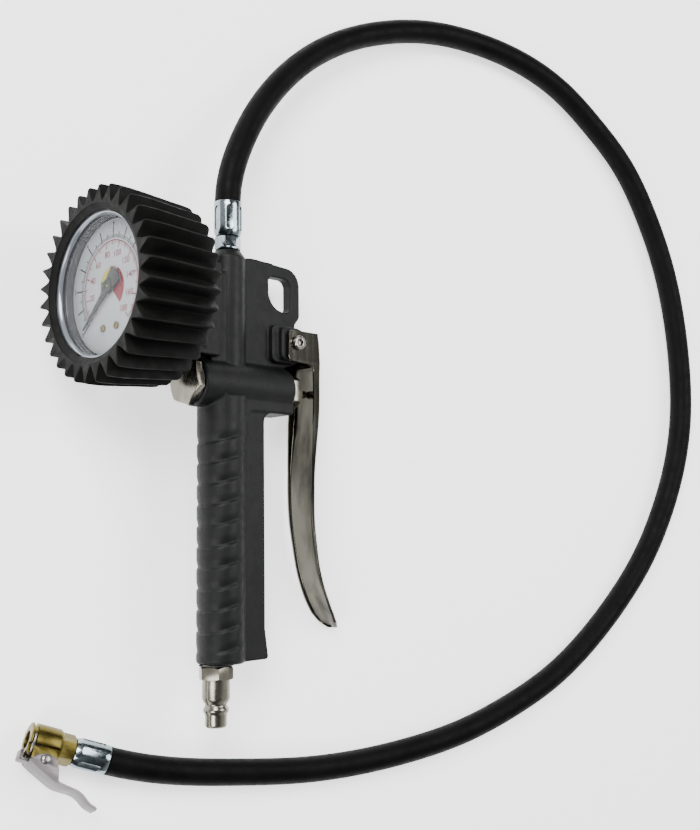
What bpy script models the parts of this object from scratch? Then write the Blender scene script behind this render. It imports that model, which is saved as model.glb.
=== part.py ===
"""Hand tyre inflator with gauge: pistol-grip valve gun, gauge in a rubber boot, hose and clip-on tyre chuck.

Lengths are millimetres times MM. The gun is drawn upright in its own frame: x runs from the gauge to the
trigger lever, z up the grip, y across, with the origin where the valve axis crosses the inlet axis. The whole
gun then hangs on one empty, gun_pose, that lays it on its side on the bench (z = 0). The chuck has its own
frame on chuck_pose: x from the hose to the mouth, y towards its thumb lever.
"""
import math

import bmesh
import bpy
import numpy as np
from mathutils import Matrix, Vector

MM = 0.001
GAP = 0.3                       # clearance between neighbouring pieces

# -------------------------------------------------- pose of the gun and of the chuck on the bench
GUN_ORIGIN = (3.35, 35.6, 30.35)
LEAN = math.radians(19.34)      # the gun rolls this much about its own z axis when it lies on boot and lever
CHUCK_ORIGIN = (-42.5, -141.4, 8.4)
CHUCK_HEADING = math.radians(161.5)
CHUCK_ROLL = math.radians(20)

# ---------------------------------------------------------------- gun casting
GRIP_BOTTOM = -133.4
PALM_CENTRE, PALM_HALF_X, PALM_HALF_Y = 2.8, 11.5, 12.0
FRONT_EDGE, FRONT_HALF_Y = 23.1, 8.6
SCALLOPS, SCALLOP_PITCH, SCALLOP_DEPTH = 11, 9.95, 0.9
BARREL_R, BARREL_REAR, BARREL_FRONT = 11.8, -14.9, 42.3
PORT_X, PORT_R, PORT_TOP = 6.9, 8.7, 67.3
WEB_HALF_Y = 3.0
PIVOT = (43.0, 24.1)            # x and z of the trigger pivot
PIVOT_HOLE_R = 2.7

# ---------------------------------------------------------------- valve
CHAMBER_R, SEAT_X, SEAT_HOLE_R = 7.5, 3.8, 3.5
FRONT_CHAMBER_R, GLAND_BORE_R, GLAND_BORE_X = 4.0, 7.0, 28.0
INLET_BORE_R, OUTLET_BORE_R = 3.5, 2.5
NUT_AF = 21.0
PIN_R, PIN_END = 2.0, 58.9
SPRING_R, SPRING_WIRE, SPRING_TURNS = 4.6, 0.55, 6

# ---------------------------------------------------------------- trigger lever
LEVER_T = 1.4
LEVER_TOP, LEVER_TIP = 30.5, -120.5

# ---------------------------------------------------------------- gauge
GAUGE_Z = 38.9
BOOT_FRONT, BOOT_LIP, BOOT_BACK = -71.0, -69.2, -30.0
BOOT_R_FRONT, BOOT_R_BACK, BOOT_TEETH = 45.0, 42.8, 32
LIP_R, CASE_R, CASE_WALL = 33.4, 35.0, 1.4
DIAL_X, DIAL_R = -61.0, 31.3
SECTOR_RATIO = 7                # pointer turns this many times the sector gear
PINION_TEETH, GEAR_MODULE = 10, 0.5

# ---------------------------------------------------------------- hose
HOSE_D = 13.0
# centre line of the hose on the bench, from the gun's port to the chuck, in world millimetres
HOSE_ROUTE = [(9.85, 128.1, 28.05), (17, 159, 26.6), (33, 188, 22.4), (54, 212, 17.8), (80, 231, 13.8),
              (110, 244, 10.5), (141, 251, 7.8), (173, 251, 6.5), (203, 245, 6.5), (232, 232, 6.5),
              (256, 213, 6.5), (278, 190, 6.5), (294, 162, 6.5), (306, 131, 6.5), (313, 99, 6.5),
              (316, 67, 6.5), (315, 34, 6.5), (308, 3, 6.5), (296, -26, 6.5), (280, -53, 6.5),
              (260, -77, 6.5), (237, -99, 6.5), (211, -118, 6.5), (183, -132, 6.5), (153, -143, 6.5),
              (121, -150, 6.5), (89, -154, 6.5), (56, -155, 6.6), (24, -153, 7.0), (-8, -149.5, 7.8),
              (-42.2, -141.5, 8.4)]
HOSE_POINTS = 74

# ---------------------------------------------------------------- tyre chuck, in its own frame
CHUCK_BODY_R, CHUCK_MOUTH_X, CHUCK_MOUTH_R = 8.25, 39.0, 4.2
CHUCK_FLAT = 5.2
CHUCK_RIVET = (29.8, 7.8)
FERRULE_R, FERRULE_BORE, BARB_R = 6.9, 3.9, 3.6

NUT_CORNER_TURN = math.radians(-14)


# ================================================================ scene, materials and placing
def clear_scene():
    for obj in list(bpy.data.objects):
        bpy.data.objects.remove(obj, do_unlink=True)


def make_collection(name):
    collection = bpy.data.collections.new(name)
    bpy.context.scene.collection.children.link(collection)
    return collection


def make_material(name, color, roughness, metallic):
    material = bpy.data.materials.new(name)
    material.use_nodes = True
    shader = material.node_tree.nodes["Principled BSDF"]
    shader.inputs["Base Color"].default_value = (*color, 1.0)
    shader.inputs["Roughness"].default_value = roughness
    shader.inputs["Metallic"].default_value = metallic
    material.diffuse_color = (*color, 1.0)
    return material


clear_scene()
PARTS = make_collection("tyre_inflator")
CUTTERS = make_collection("cutters")
CAST = make_material("charcoal_cast", (0.045, 0.048, 0.048), 0.55, 0.0)
NICKEL = make_material("nickel_plate", (0.62, 0.59, 0.52), 0.22, 1.0)
STEEL = make_material("bright_steel", (0.55, 0.53, 0.48), 0.25, 1.0)
ZINC = make_material("zinc_plate", (0.66, 0.70, 0.74), 0.25, 1.0)
BRASS = make_material("brass", (0.52, 0.40, 0.13), 0.35, 1.0)
RUBBER = make_material("black_rubber", (0.012, 0.012, 0.012), 0.65, 0.0)
SEAL = make_material("seal_rubber", (0.02, 0.02, 0.02), 0.5, 0.0)
PLASTIC = make_material("black_plastic", (0.03, 0.03, 0.03), 0.4, 0.0)
WHITE = make_material("dial_white", (0.85, 0.85, 0.83), 0.4, 0.0)
CLEAR = make_material("clear_lens", (0.9, 0.92, 0.92), 0.05, 0.0)
GREY = make_material("pointer_grey", (0.12, 0.13, 0.12), 0.45, 0.0)


def make_empty(name, location, rotation, parent=None):
    empty = bpy.data.objects.new(name, None)
    empty.location = Vector(location) * MM
    empty.rotation_euler = rotation
    empty.parent = parent
    PARTS.objects.link(empty)
    return empty


gun_pose = make_empty("gun_pose", GUN_ORIGIN, (math.radians(-90), LEAN, 0))
chuck_pose = make_empty("chuck_pose", CHUCK_ORIGIN, (CHUCK_ROLL, 0, CHUCK_HEADING))

ALONG_X = (0, math.radians(90), 0)      # lays a piece drawn along z on the frame's x axis
ACROSS_Y = (math.radians(90), 0, 0)     # lays a piece drawn along z on the frame's -y axis


def add_piece(name, mesh, material, at=(0, 0, 0), turn=(0, 0, 0), parent=gun_pose):
    piece = bpy.data.objects.new(name, mesh)
    piece.location = Vector(at) * MM
    piece.rotation_euler = turn
    piece.parent = parent
    piece.data.materials.append(material)
    PARTS.objects.link(piece)
    return piece


def hide_as_cutter(obj):
    for collection in list(obj.users_collection):
        collection.objects.unlink(obj)
    CUTTERS.objects.link(obj)
    obj.hide_render = True
    obj.display_type = "WIRE"


def boolean(piece, cutters, operation="DIFFERENCE"):
    for cutter in cutters:
        modifier = piece.modifiers.new(operation.lower(), "BOOLEAN")
        modifier.object = cutter
        modifier.operation = operation
        modifier.solver = "EXACT"
        hide_as_cutter(cutter)
    return piece


def weld(piece):
    """Closes the hairline slivers that stacked booleans can leave."""
    modifier = piece.modifiers.new("weld", "WELD")
    modifier.merge_threshold = 0.00002
    return piece


def soften(piece, width, segments=2, angle=50):
    """Rounds the edges of a piece."""
    modifier = piece.modifiers.new("bevel", "BEVEL")
    modifier.width = width * MM
    modifier.segments = segments
    modifier.limit_method = "ANGLE"
    modifier.angle_limit = math.radians(angle)
    return piece


# ================================================================ shapes, in millimetres
def tidy(mesh, shift=(0, 0, 0)):
    """Welds a mesh's seams, joins its flat faces and points them outwards."""
    bm = bmesh.new()
    bm.from_mesh(mesh)
    bmesh.ops.remove_doubles(bm, verts=bm.verts, dist=1e-6)
    bmesh.ops.dissolve_limit(bm, angle_limit=math.radians(0.2), verts=bm.verts, edges=bm.edges)
    bmesh.ops.translate(bm, verts=bm.verts, vec=Vector(shift) * MM)
    bmesh.ops.recalc_face_normals(bm, faces=bm.faces)
    bm.to_mesh(mesh)
    bm.free()
    return mesh


def finished_mesh(name, data, shift=(0, 0, 0)):
    """The mesh that a curve ends up as."""
    helper = bpy.data.objects.new(name, data)
    bpy.context.scene.collection.objects.link(helper)
    bpy.context.view_layer.update()
    mesh = bpy.data.meshes.new_from_object(helper.evaluated_get(bpy.context.evaluated_depsgraph_get()))
    bpy.data.objects.remove(helper, do_unlink=True)
    mesh.name = name
    return tidy(mesh, shift)


def loft_mesh(name, rings):
    """Skins a row of closed rings that all have the same number of points, and caps both ends."""
    mesh = bpy.data.meshes.new(name)
    bm = bmesh.new()
    rows = [[bm.verts.new(Vector(point) * MM) for point in ring] for ring in rings]
    for here, there in zip(rows, rows[1:]):
        for k in range(len(here)):
            n = (k + 1) % len(here)
            bm.faces.new([here[k], here[n], there[n], there[k]])
    bm.faces.new(rows[0])
    bm.faces.new(rows[-1])
    bmesh.ops.recalc_face_normals(bm, faces=bm.faces)
    bm.to_mesh(mesh)
    bm.free()
    return mesh


def turned(name, profile, material, steps=32, closed=False, phase=0.0, **place):
    """Turns (radius, height) points about z; points run from the top down the outer side."""
    mesh = bpy.data.meshes.new(name)
    bm = bmesh.new()
    points = [bm.verts.new((r * MM * math.cos(phase), r * MM * math.sin(phase), z * MM)) for r, z in profile]
    for a, b in zip(points, points[1:] + points[:1] if closed else points[1:]):
        bm.edges.new([a, b])
    bm.to_mesh(mesh)
    bm.free()
    piece = add_piece(name, mesh, material, **place)
    screw = piece.modifiers.new("turn", "SCREW")
    screw.axis = "Z"
    screw.angle = math.tau
    screw.steps = screw.render_steps = steps
    screw.use_merge_vertices = True
    screw.merge_threshold = 0.00001
    screw.use_smooth_shade = False
    return piece


def turned_cutter(name, profile, steps=32, closed=False, phase=0.0, **place):
    return turned(name, profile, CAST, steps, closed, phase, **place)


def prism_mesh(name, outline, low, high):
    """An (x, y) outline extruded along z from low to high."""
    curve = bpy.data.curves.new(name, "CURVE")
    curve.dimensions = "2D"
    curve.fill_mode = "BOTH"
    curve.extrude = (high - low) / 2 * MM
    spline = curve.splines.new("POLY")
    spline.points.add(len(outline) - 1)
    for slot, (x, y) in zip(spline.points, outline):
        slot.co = (x * MM, y * MM, 0, 1)
    spline.use_cyclic_u = True
    return finished_mesh(name, curve, (0, 0, (low + high) / 2))


def hexagon(across_flats, turn=0.0):
    radius = across_flats / 2 / math.cos(math.pi / 6)
    return [(radius * math.cos(turn + k * math.pi / 3), radius * math.sin(turn + k * math.pi / 3))
            for k in range(6)]


def box_mesh(name, low, high):
    mesh = bpy.data.meshes.new(name)
    bm = bmesh.new()
    size = (Vector(high) - Vector(low)) * MM
    bmesh.ops.create_cube(bm, size=1.0, matrix=Matrix.Translation((Vector(low) + Vector(high)) / 2 * MM)
                          @ Matrix.Diagonal((*size, 1)))
    bm.to_mesh(mesh)
    bm.free()
    return mesh


def cutter(mesh, parent=gun_pose, at=(0, 0, 0), turn=(0, 0, 0)):
    return add_piece(mesh.name, mesh, CAST, at, turn, parent)


def stepped_bore(name, spans, phase=0.0, steps=24, **place):
    """A stepped drill along z: the first span is (low, high, radius), each later one (high, radius)."""
    low, high, radius = spans[0]
    rising = [(0, low), (radius, low), (radius, high)]
    for high, next_radius in spans[1:]:
        rising += [(next_radius, rising[-1][1]), (next_radius, high)]
    return turned_cutter(name, [(0, high)] + rising[:0:-1] + [(0, low)], steps, phase=phase, **place)


def rounded(points, radii, steps=5):
    """Rounds the corners of a closed outline; radii gives each corner's radius."""
    out, count = [], len(points)
    for i, corner in enumerate(points):
        corner = Vector(corner)
        if radii[i] == 0:
            out.append(tuple(corner))
            continue
        before = (Vector(points[i - 1]) - corner).normalized()
        after = (Vector(points[(i + 1) % count]) - corner).normalized()
        half = before.angle(after) / 2
        reach = radii[i] / math.tan(half)
        centre = corner + (before + after).normalized() * (radii[i] / math.sin(half))
        start = corner + before * reach - centre
        sweep = (corner + after * reach - centre)
        total = start.angle(sweep)
        side = 1 if start.x * sweep.y - start.y * sweep.x > 0 else -1
        for k in range(steps + 1):
            spun = Matrix.Rotation(side * total * k / steps, 2) @ start
            out.append(tuple(centre + spun))
    return out


def plate(name, outline_xz, half_y, bevel=0.0, segments=1):
    """A plate in the frame's xz plane, centred on y = 0, as a boolean tool."""
    obj = cutter(prism_mesh(name, outline_xz, -half_y, half_y), turn=ACROSS_Y)
    return soften(obj, bevel, segments) if bevel else obj


def tube(name, points, radius, material, sides=2, closed=False, **place):
    """A round bar or wire along a list of points, with filled ends."""
    curve = bpy.data.curves.new(name, "CURVE")
    curve.dimensions = "3D"
    curve.bevel_depth = radius * MM
    curve.bevel_resolution = sides
    curve.use_fill_caps = True
    spline = curve.splines.new("POLY")
    spline.points.add(len(points) - 1)
    for slot, point in zip(spline.points, points):
        slot.co = (*(Vector(point) * MM), 1)
    spline.use_cyclic_u = closed
    return add_piece(name, curve, material, **place)


def smooth_curve(points, count, start=None, end=None):
    """Evenly spaced points on the cubic spline through points; start and end are its tangents."""
    knots = np.array(points, float)
    gaps = np.linalg.norm(np.diff(knots, axis=0), axis=1)
    size = len(knots)
    system, right = np.zeros((size, size)), np.zeros((size, 3))
    for i in range(1, size - 1):
        system[i, i - 1:i + 2] = (1 / gaps[i - 1], 2 / gaps[i - 1] + 2 / gaps[i], 1 / gaps[i])
        arriving, onward = knots[i] - knots[i - 1], knots[i + 1] - knots[i]
        right[i] = 3 * (arriving / gaps[i - 1] ** 2 + onward / gaps[i] ** 2)
    for row, tangent in ((0, start), (size - 1, end)):
        system[row, row] = 1
        right[row] = tangent
    slopes = np.linalg.solve(system, right)
    dense = [knots[0]]
    for i in range(size - 1):
        for t in np.linspace(0, 1, 21)[1:]:
            bends = (2 * t ** 3 - 3 * t ** 2 + 1, t ** 3 - 2 * t ** 2 + t, 3 * t ** 2 - 2 * t ** 3,
                     t ** 3 - t ** 2)
            dense.append(bends[0] * knots[i] + bends[1] * gaps[i] * slopes[i]
                         + bends[2] * knots[i + 1] + bends[3] * gaps[i] * slopes[i + 1])
    dense = np.array(dense)
    along = np.r_[0, np.cumsum(np.linalg.norm(np.diff(dense, axis=0), axis=1))]
    wanted = np.linspace(0, along[-1], count)
    return [tuple(np.interp(wanted, along, dense[:, k])[i] for k in range(3)) for i in range(count)]


# ================================================================ gun casting
def palm_mesh():
    """The scalloped palm side of the grip: an oval loft whose radius dips at each diagonal finger groove."""
    around, rows_per_scallop = 20, 4
    rows = SCALLOPS * rows_per_scallop + 1
    top, bottom = -20.0, -20.0 - SCALLOPS * SCALLOP_PITCH
    heights = [-6.0] + list(np.linspace(top, bottom, rows)) + [GRIP_BOTTOM + 3, GRIP_BOTTOM + 1.2,
                                                               GRIP_BOTTOM]
    rings = []
    for z in heights:
        ring = []
        for k in range(around):
            angle = math.tau * k / around
            phase = (z - top - 0.28 * PALM_HALF_X * (1 + math.cos(angle))) / SCALLOP_PITCH
            dip = 1 - abs(math.sin(math.pi * phase))
            inside = min(1, max(0, (top - z) / 4)) * min(1, max(0, (z - bottom) / 4))
            shrink = SCALLOP_DEPTH * dip * inside + (1.0 if z == GRIP_BOTTOM else 0)
            ring.append((PALM_CENTRE + (PALM_HALF_X - shrink) * math.cos(angle),
                         (PALM_HALF_Y - shrink) * math.sin(angle), z))
        rings.append(ring)
    return loft_mesh("gun_body", rings)


def make_gun_body():
    body = add_piece("gun_body", palm_mesh(), CAST)
    front = rounded([(0, GRIP_BOTTOM + 0.4), (25.6, GRIP_BOTTOM + 1.0), (23.4, -118), (FRONT_EDGE, -30),
                     (FRONT_EDGE, -12.9), (42.0, -12.6), (42.0, -4), (0, -4)], [0, 1.5, 20, 20, 5, 0, 0, 0])
    barrel = [(0, BARREL_FRONT), (BARREL_R - 1, BARREL_FRONT), (BARREL_R, BARREL_FRONT - 1),
              (BARREL_R, BARREL_REAR + 1), (BARREL_R - 1, BARREL_REAR), (0, BARREL_REAR)]
    port = [(0, PORT_TOP), (6.2, PORT_TOP), (PORT_R, PORT_TOP - 3.6), (PORT_R, 2), (0, 2)]
    web = rounded([(6.9, 5), (6.9, PORT_TOP - 4), (19, 65.6), (33, 65.4), (35, 64.8), (52.2, 64.2),
                   (52.2, 39),
                   (49.0, 35.5), (48.5, 14), (42.0, 12.2), (41.5, 5)], [0, 3, 3, 2, 2, 9, 4, 2, 3, 0, 0], 4)
    step = rounded([(30.6, 14), (49.0, 14), (49.0, 33), (30.6, 33)], [3, 3, 3, 3], 4)
    ears = rounded([(34.2, 15.2), (49.3, 15.2), (49.3, 32), (34.2, 32)], [3, 4, 4, 3], 4)
    boolean(body, [
        plate("grip_front", front, FRONT_HALF_Y, 2.2, 3),
        turned_cutter("valve_barrel", barrel, 36, turn=ALONG_X),
        turned_cutter("hose_port", port, 32, at=(PORT_X, 0, 0)),
        plate("hanging_web", web, WEB_HALF_Y, 1.0),
        plate("pivot_step", step, 6.4, 0.8),
        plate("pivot_boss", ears, 9.6, 0.8),
        plate("gauge_block", rounded([(-22, 12.3), (-4.5, 12.3), (-4.5, 58), (-22, 58)], [1.5] * 4, 3), 9.5,
              1.0),
        plate("gauge_block_neck", [(-8, 5), (6, 5), (6, 55), (-8, 55)], 6.2),
    ], "UNION")
    eye = rounded([(31.1, 58.4), (46.0, 58.6), (46.0, 41.0), (31.1, 41.0)], [3, 4, 3, 10])
    boolean(body, [
        plate("eye_cut", eye, 8),
        stepped_bore("valve_bore", [(BARREL_REAR - 3, SEAT_X - 0.8, CHAMBER_R), (SEAT_X + 0.8, SEAT_HOLE_R),
                                    (GLAND_BORE_X, FRONT_CHAMBER_R), (BARREL_FRONT + 3, GLAND_BORE_R)],
                     0.03, turn=ALONG_X),
        stepped_bore("inlet_bore", [(GRIP_BOTTOM - 2, -118.5, 6.6), (-4, INLET_BORE_R)], 0.05),
        stepped_bore("outlet_bore", [(2, 55, OUTLET_BORE_R), (PORT_TOP + 2, 4.9)], 0.09, at=(PORT_X, 0, 0)),
        stepped_bore("gauge_bore", [(-25, -12, 6.5), (PORT_X - 0.7, 1.6)], 0.06, turn=ALONG_X,
                     at=(0, 0, GAUGE_Z)),
        stepped_bore("pivot_bore", [(-12, 12, PIVOT_HOLE_R)], 0.04, turn=ACROSS_Y,
                     at=(PIVOT[0], 0, PIVOT[1])),
    ])
    weld(body)
    return body


# ================================================================ round and hexagonal fittings
def hex_piece(name, across, low, high, material, spigots=(), bores=(), corner_turn=0.0, chamfer="both",
              **place):
    """A hexagon from low to high along z with its corners turned off; spigots are turned profiles joined to
    it and bores are stepped drills taken out of it."""
    piece = add_piece(name, prism_mesh(name, hexagon(across, corner_turn), low, high), material, **place)
    corner, flat = across / 2 / math.cos(math.pi / 6) + 0.05, across / 2 * 0.98
    drop = (corner - flat) * 0.55
    top = [(0, high + 0.02), (flat, high + 0.02), (corner, high - drop)]
    bottom = [(corner, low + drop), (flat, low - 0.02), (0, low - 0.02)]
    if chamfer == "low":
        top = [(0, high + 1), (corner, high + 1)]
    if chamfer == "high":
        bottom = [(corner, low - 1), (0, low - 1)]
    boolean(piece, [turned_cutter(name + "_corners", top + bottom, 24, phase=0.08, **place)], "INTERSECT")
    for index, profile in enumerate(spigots):
        boolean(piece, [turned_cutter(f"{name}_spigot_{index}", profile, 20, phase=0.02, **place)], "UNION")
    for index, spans in enumerate(bores):
        boolean(piece, [stepped_bore(f"{name}_bore_{index}", spans, 0.05, 16, **place)])
    return piece


def washer(name, inner, outer, low, high, material, steps=24, **place):
    return turned(name, [(inner, high), (outer, high), (outer, low), (inner, low)], material, steps, True,
                  **place)


def pin(name, radius, low, high, material, steps=20, **place):
    return turned(name, [(0, high), (radius, high), (radius, low), (0, low)], material, steps, **place)


def make_valve():
    """The push valve: cap, spring, poppet on its seal, push pin and packing gland, all on the barrel axis."""
    hex_piece("valve_cap", NUT_AF, -20.1, -16.2, NICKEL,
              [[(0, -9.0), (6.6, -9.0), (7.2, -9.6), (7.2, -17.2), (0, -17.2)]],
              [[(-13.0, -8.0, 5.5)]], NUT_CORNER_TURN, "low", turn=ALONG_X)
    washer("cap_gasket", 7.5, 10.3, -15.9, -15.2, SEAL, turn=ALONG_X)
    turns = np.linspace(0, math.tau * SPRING_TURNS, SPRING_TURNS * 10 + 1)
    low, high = -13.0 + GAP + SPRING_WIRE, -4.0 - GAP - SPRING_WIRE
    tube("valve_spring", [(low + (high - low) * a / turns[-1], SPRING_R * math.cos(a), SPRING_R * math.sin(a))
                          for a in turns], SPRING_WIRE, STEEL)
    poppet = turned("valve_poppet", [(0, 1.2), (5.0, 1.2), (5.0, -1.2), (4.4, -1.8), (3.4, -1.8), (3.4, -4.0),
                                     (0, -4.0)], BRASS, 28, turn=ALONG_X)
    boolean(poppet, [stepped_bore("poppet_bore", [(-1.4, 3, 1.8)], 0.05, 16, turn=ALONG_X),
                     turned_cutter("poppet_collar", [(0, -3.9), (6, -3.9), (6, -5), (0, -5)], 16, phase=0.07,
                                   turn=ALONG_X)])
    washer("poppet_seal", 2.3, 4.8, 1.5, 2.7, SEAL, turn=ALONG_X)
    turned("valve_pin", [(0, PIN_END), (1.2, PIN_END), (PIN_R, PIN_END - 0.8), (PIN_R, 1.6), (1.5, 1.2),
                         (1.5, -1.1), (0, -1.1)], STEEL, 20, turn=ALONG_X)
    hex_piece("gland_nut", 18.0, BARREL_FRONT + GAP, 48.6, NICKEL,
              [[(0, BARREL_FRONT + 1.5), (6.7, BARREL_FRONT + 1.5), (6.7, 33.5), (6.2, 33.0), (0, 33.0)]],
              [[(31, 35.5, 4.7), (49, PIN_R + GAP)]], 0.0, "high", turn=ALONG_X)
    section = [(3.4 + 0.95 * math.cos(-a), 34.25 + 0.95 * math.sin(-a)) for a in np.arange(8) * math.tau / 8]
    turned("stem_o_ring", section, SEAL, 24, True, turn=ALONG_X)


# ================================================================ trigger lever and its pivot
LEVER_STATIONS = [  # z, outer face of the web in x, half width, depth of the flanges, corner radius
    (30.5, 58.3, 11.5, 19.5, 1.6), (29.4, 58.4, 11.5, 20.8, 1.6), (27.5, 58.7, 11.5, 21.8, 1.6),
    (17.0, 59.5, 11.5, 22.7, 1.6), (15.0, 59.6, 11.5, 21.4, 1.6), (14.2, 59.7, 11.3, 9.0, 1.6),
    (13.2, 59.8, 11.2, 6.2, 1.6), (11.0, 59.9, 10.9, 5.2, 1.6), (-4.0, 60.5, 10.0, 4.8, 1.6),
    (-16.0, 59.8, 9.95, 4.8, 1.6), (-28.0, 58.4, 9.9, 3.6, 1.7), (-41.0, 57.2, 9.85, 2.6, 2.0),
    (-53.0, 56.9, 9.8, 2.4, 2.0), (-66.0, 57.4, 9.4, 2.4, 2.0), (-78.0, 59.2, 9.0, 2.4, 2.0),
    (-91.0, 61.9, 8.6, 2.6, 2.0), (-106.0, 67.8, 8.3, 2.8, 2.0), (-113.0, 71.8, 7.6, 2.8, 1.8),
    (-117.5, 75.4, 5.8, 2.8, 1.6), (LEVER_TIP, 78.6, 2.6, 2.8, 1.0)]


def lever_section(x, z, half, depth, corner, slope):
    """One level slice of the lever: a channel open towards the grip, its web slightly crowned."""
    thick = LEVER_T * math.sqrt(1 + slope * slope)
    crown, ring = 0.5, []
    outer = [(-half, depth), (-half, corner), (-half + 0.29 * corner, 0.29 * corner), (-half + corner, 0),
             (-half * 0.4, -crown * 0.8), (half * 0.4, -crown * 0.8), (half - corner, 0),
             (half - 0.29 * corner, 0.29 * corner), (half, corner), (half, depth)]
    inner_half, bend = half - LEVER_T, max(corner - 0.9, 0.4)
    inner = [(inner_half, depth), (inner_half, thick + bend), (inner_half - 0.29 * bend, thick + 0.29 * bend),
             (inner_half - bend, thick), (half * 0.4, thick - crown * 0.8)]
    inner += [(-y, d) for y, d in reversed(inner)]
    for y, d in outer + inner:
        ring.append((x - d - PIVOT[0], y, z - PIVOT[1]))
    return ring


def make_trigger():
    rings = []
    for i, (z, x, half, depth, corner) in enumerate(LEVER_STATIONS):
        above, below = LEVER_STATIONS[max(i - 1, 0)], LEVER_STATIONS[min(i + 1, len(LEVER_STATIONS) - 1)]
        slope = (above[1] - below[1]) / (above[0] - below[0])
        rings.append(lever_section(x, z, half, max(depth, LEVER_T * math.sqrt(1 + slope ** 2) + 0.9),
                                   corner, slope))
    pivot = (PIVOT[0], 0, PIVOT[1])
    lever = add_piece("trigger_lever", loft_mesh("trigger_lever", rings), NICKEL, at=pivot)
    boolean(lever, [stepped_bore("ear_holes", [(-15, 15, 2.65)], 0.05, 24, turn=ACROSS_Y, at=pivot)])
    screw = turned("pivot_screw", [(0, 14.0), (3.2, 14.0), (3.6, 13.6), (3.6, 11.8), (2.35, 11.8),
                                   (2.35, -14.0),
                                   (0, -14.0)], STEEL, 24, turn=ACROSS_Y, at=pivot)
    boolean(screw, [cutter(prism_mesh("screw_socket", hexagon(3.2, 0.2), 12.3, 15), turn=ACROSS_Y, at=pivot)])
    hex_piece("pivot_nut", 8.0, -14.2, -11.8, STEEL, [], [[(-15, -11, 2.65)]], 0.1, turn=ACROSS_Y, at=pivot)


# ================================================================ gauge
GAUGE = {"at": (0, 0, GAUGE_Z), "turn": ALONG_X}
TAIL_R, SECTOR_R = 7.0, 17.6            # sector gear: link tail radius and pitch radius
SECTOR_PIVOT = 20.1                     # sector pivot below the pointer axis
SWEEP = math.radians(270) / SECTOR_RATIO
POINTER_TAIL, POINTER_TAIL_SPREAD = 9.2, 32  # radius and half angle of the fan behind the hub
POINTER_ANGLE = math.atan2(20.0, 17.6)  # pointer at its zero mark, from straight down towards +y


def make_boot():
    """The rubber boot: a saw-toothed cup that grips the gauge case behind a front lip."""
    rings = []
    for x, tip, root in ((BOOT_FRONT, BOOT_R_FRONT - 0.8, 37.4), (BOOT_FRONT + 1, BOOT_R_FRONT, 37.6),
                         (BOOT_BACK - 2.4, BOOT_R_BACK + 0.3, 37.2), (BOOT_BACK, BOOT_R_BACK - 1.6, 37.0)):
        ring = []
        for tooth in range(BOOT_TEETH):
            for share, radius in ((0.0, root), (0.42, tip), (0.58, tip), (0.86, root)):
                angle = math.tau * (tooth + share) / BOOT_TEETH
                ring.append((radius * math.cos(angle), radius * math.sin(angle), x))
        rings.append(ring)
    boot = add_piece("gauge_boot", loft_mesh("gauge_boot", rings), RUBBER, **GAUGE)
    inside = [(0, -28), (14, -28), (14, -32.5), (CASE_R + GAP, -32.5), (CASE_R + GAP, BOOT_LIP + 0.6),
              (LIP_R, BOOT_LIP + 0.6), (LIP_R, BOOT_LIP), (36.6, BOOT_FRONT + 0.2), (36.9, -73), (0, -73)]
    boolean(boot, [turned_cutter("boot_inside", inside, 48, phase=0.03, **GAUGE)])


def make_case():
    inner = CASE_R - CASE_WALL
    turned("gauge_case", [(5.6, -32.8), (CASE_R - 1, -32.8), (CASE_R, -33.8), (CASE_R, -66.2), (inner, -66.2),
                          (inner, -34.8), (inner - 0.6, -34.2), (5.6, -34.2)], STEEL, 48, True, **GAUGE)
    turned("gauge_bezel", [(31.8, -66.5), (35.0, -66.5), (35.0, -67.8), (34.5, -68.3), (32.4, -68.3),
                           (31.8, -67.5)], PLASTIC, 48, True, **GAUGE)
    turned("gauge_lens", [(0, -64.8), (33.3, -64.8), (33.3, -66.2), (30, -66.4), (0, -66.9)], CLEAR, 48,
           **GAUGE)
    washer("lens_gasket", 31.9, 33.3, -64.5, -61.4, SEAL, 48, **GAUGE)
    dial = turned("dial_plate", [(0, -60.4), (DIAL_R, -60.4), (DIAL_R, DIAL_X), (0, DIAL_X)], WHITE, 48,
                  **GAUGE)
    boolean(dial, [stepped_bore("dial_hole", [(-63, -59, 1.2)], 0.05, 16, **GAUGE)])
    for side, name in ((-1, "dial_screw_left"), (1, "dial_screw_right")):
        spot = {"at": (0, side * 5.3, GAUGE_Z - 18.6), "turn": ALONG_X}
        boolean(dial, [stepped_bore(name + "_hole", [(-63, -59, 0.9)], 0.05, 12, **spot)])
        screw = turned(name, [(0, -56.2), (0.6, -56.2), (0.6, -61.3), (1.7, -61.3), (1.7, -61.8),
                              (1.5, -62.0),
                              (0, -62.0)], BRASS, 20, **spot)
        boolean(screw, [cutter(box_mesh(name + "_slot", (-2, -0.25, -63), (2, 0.25, -61.7)), **spot)])


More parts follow.
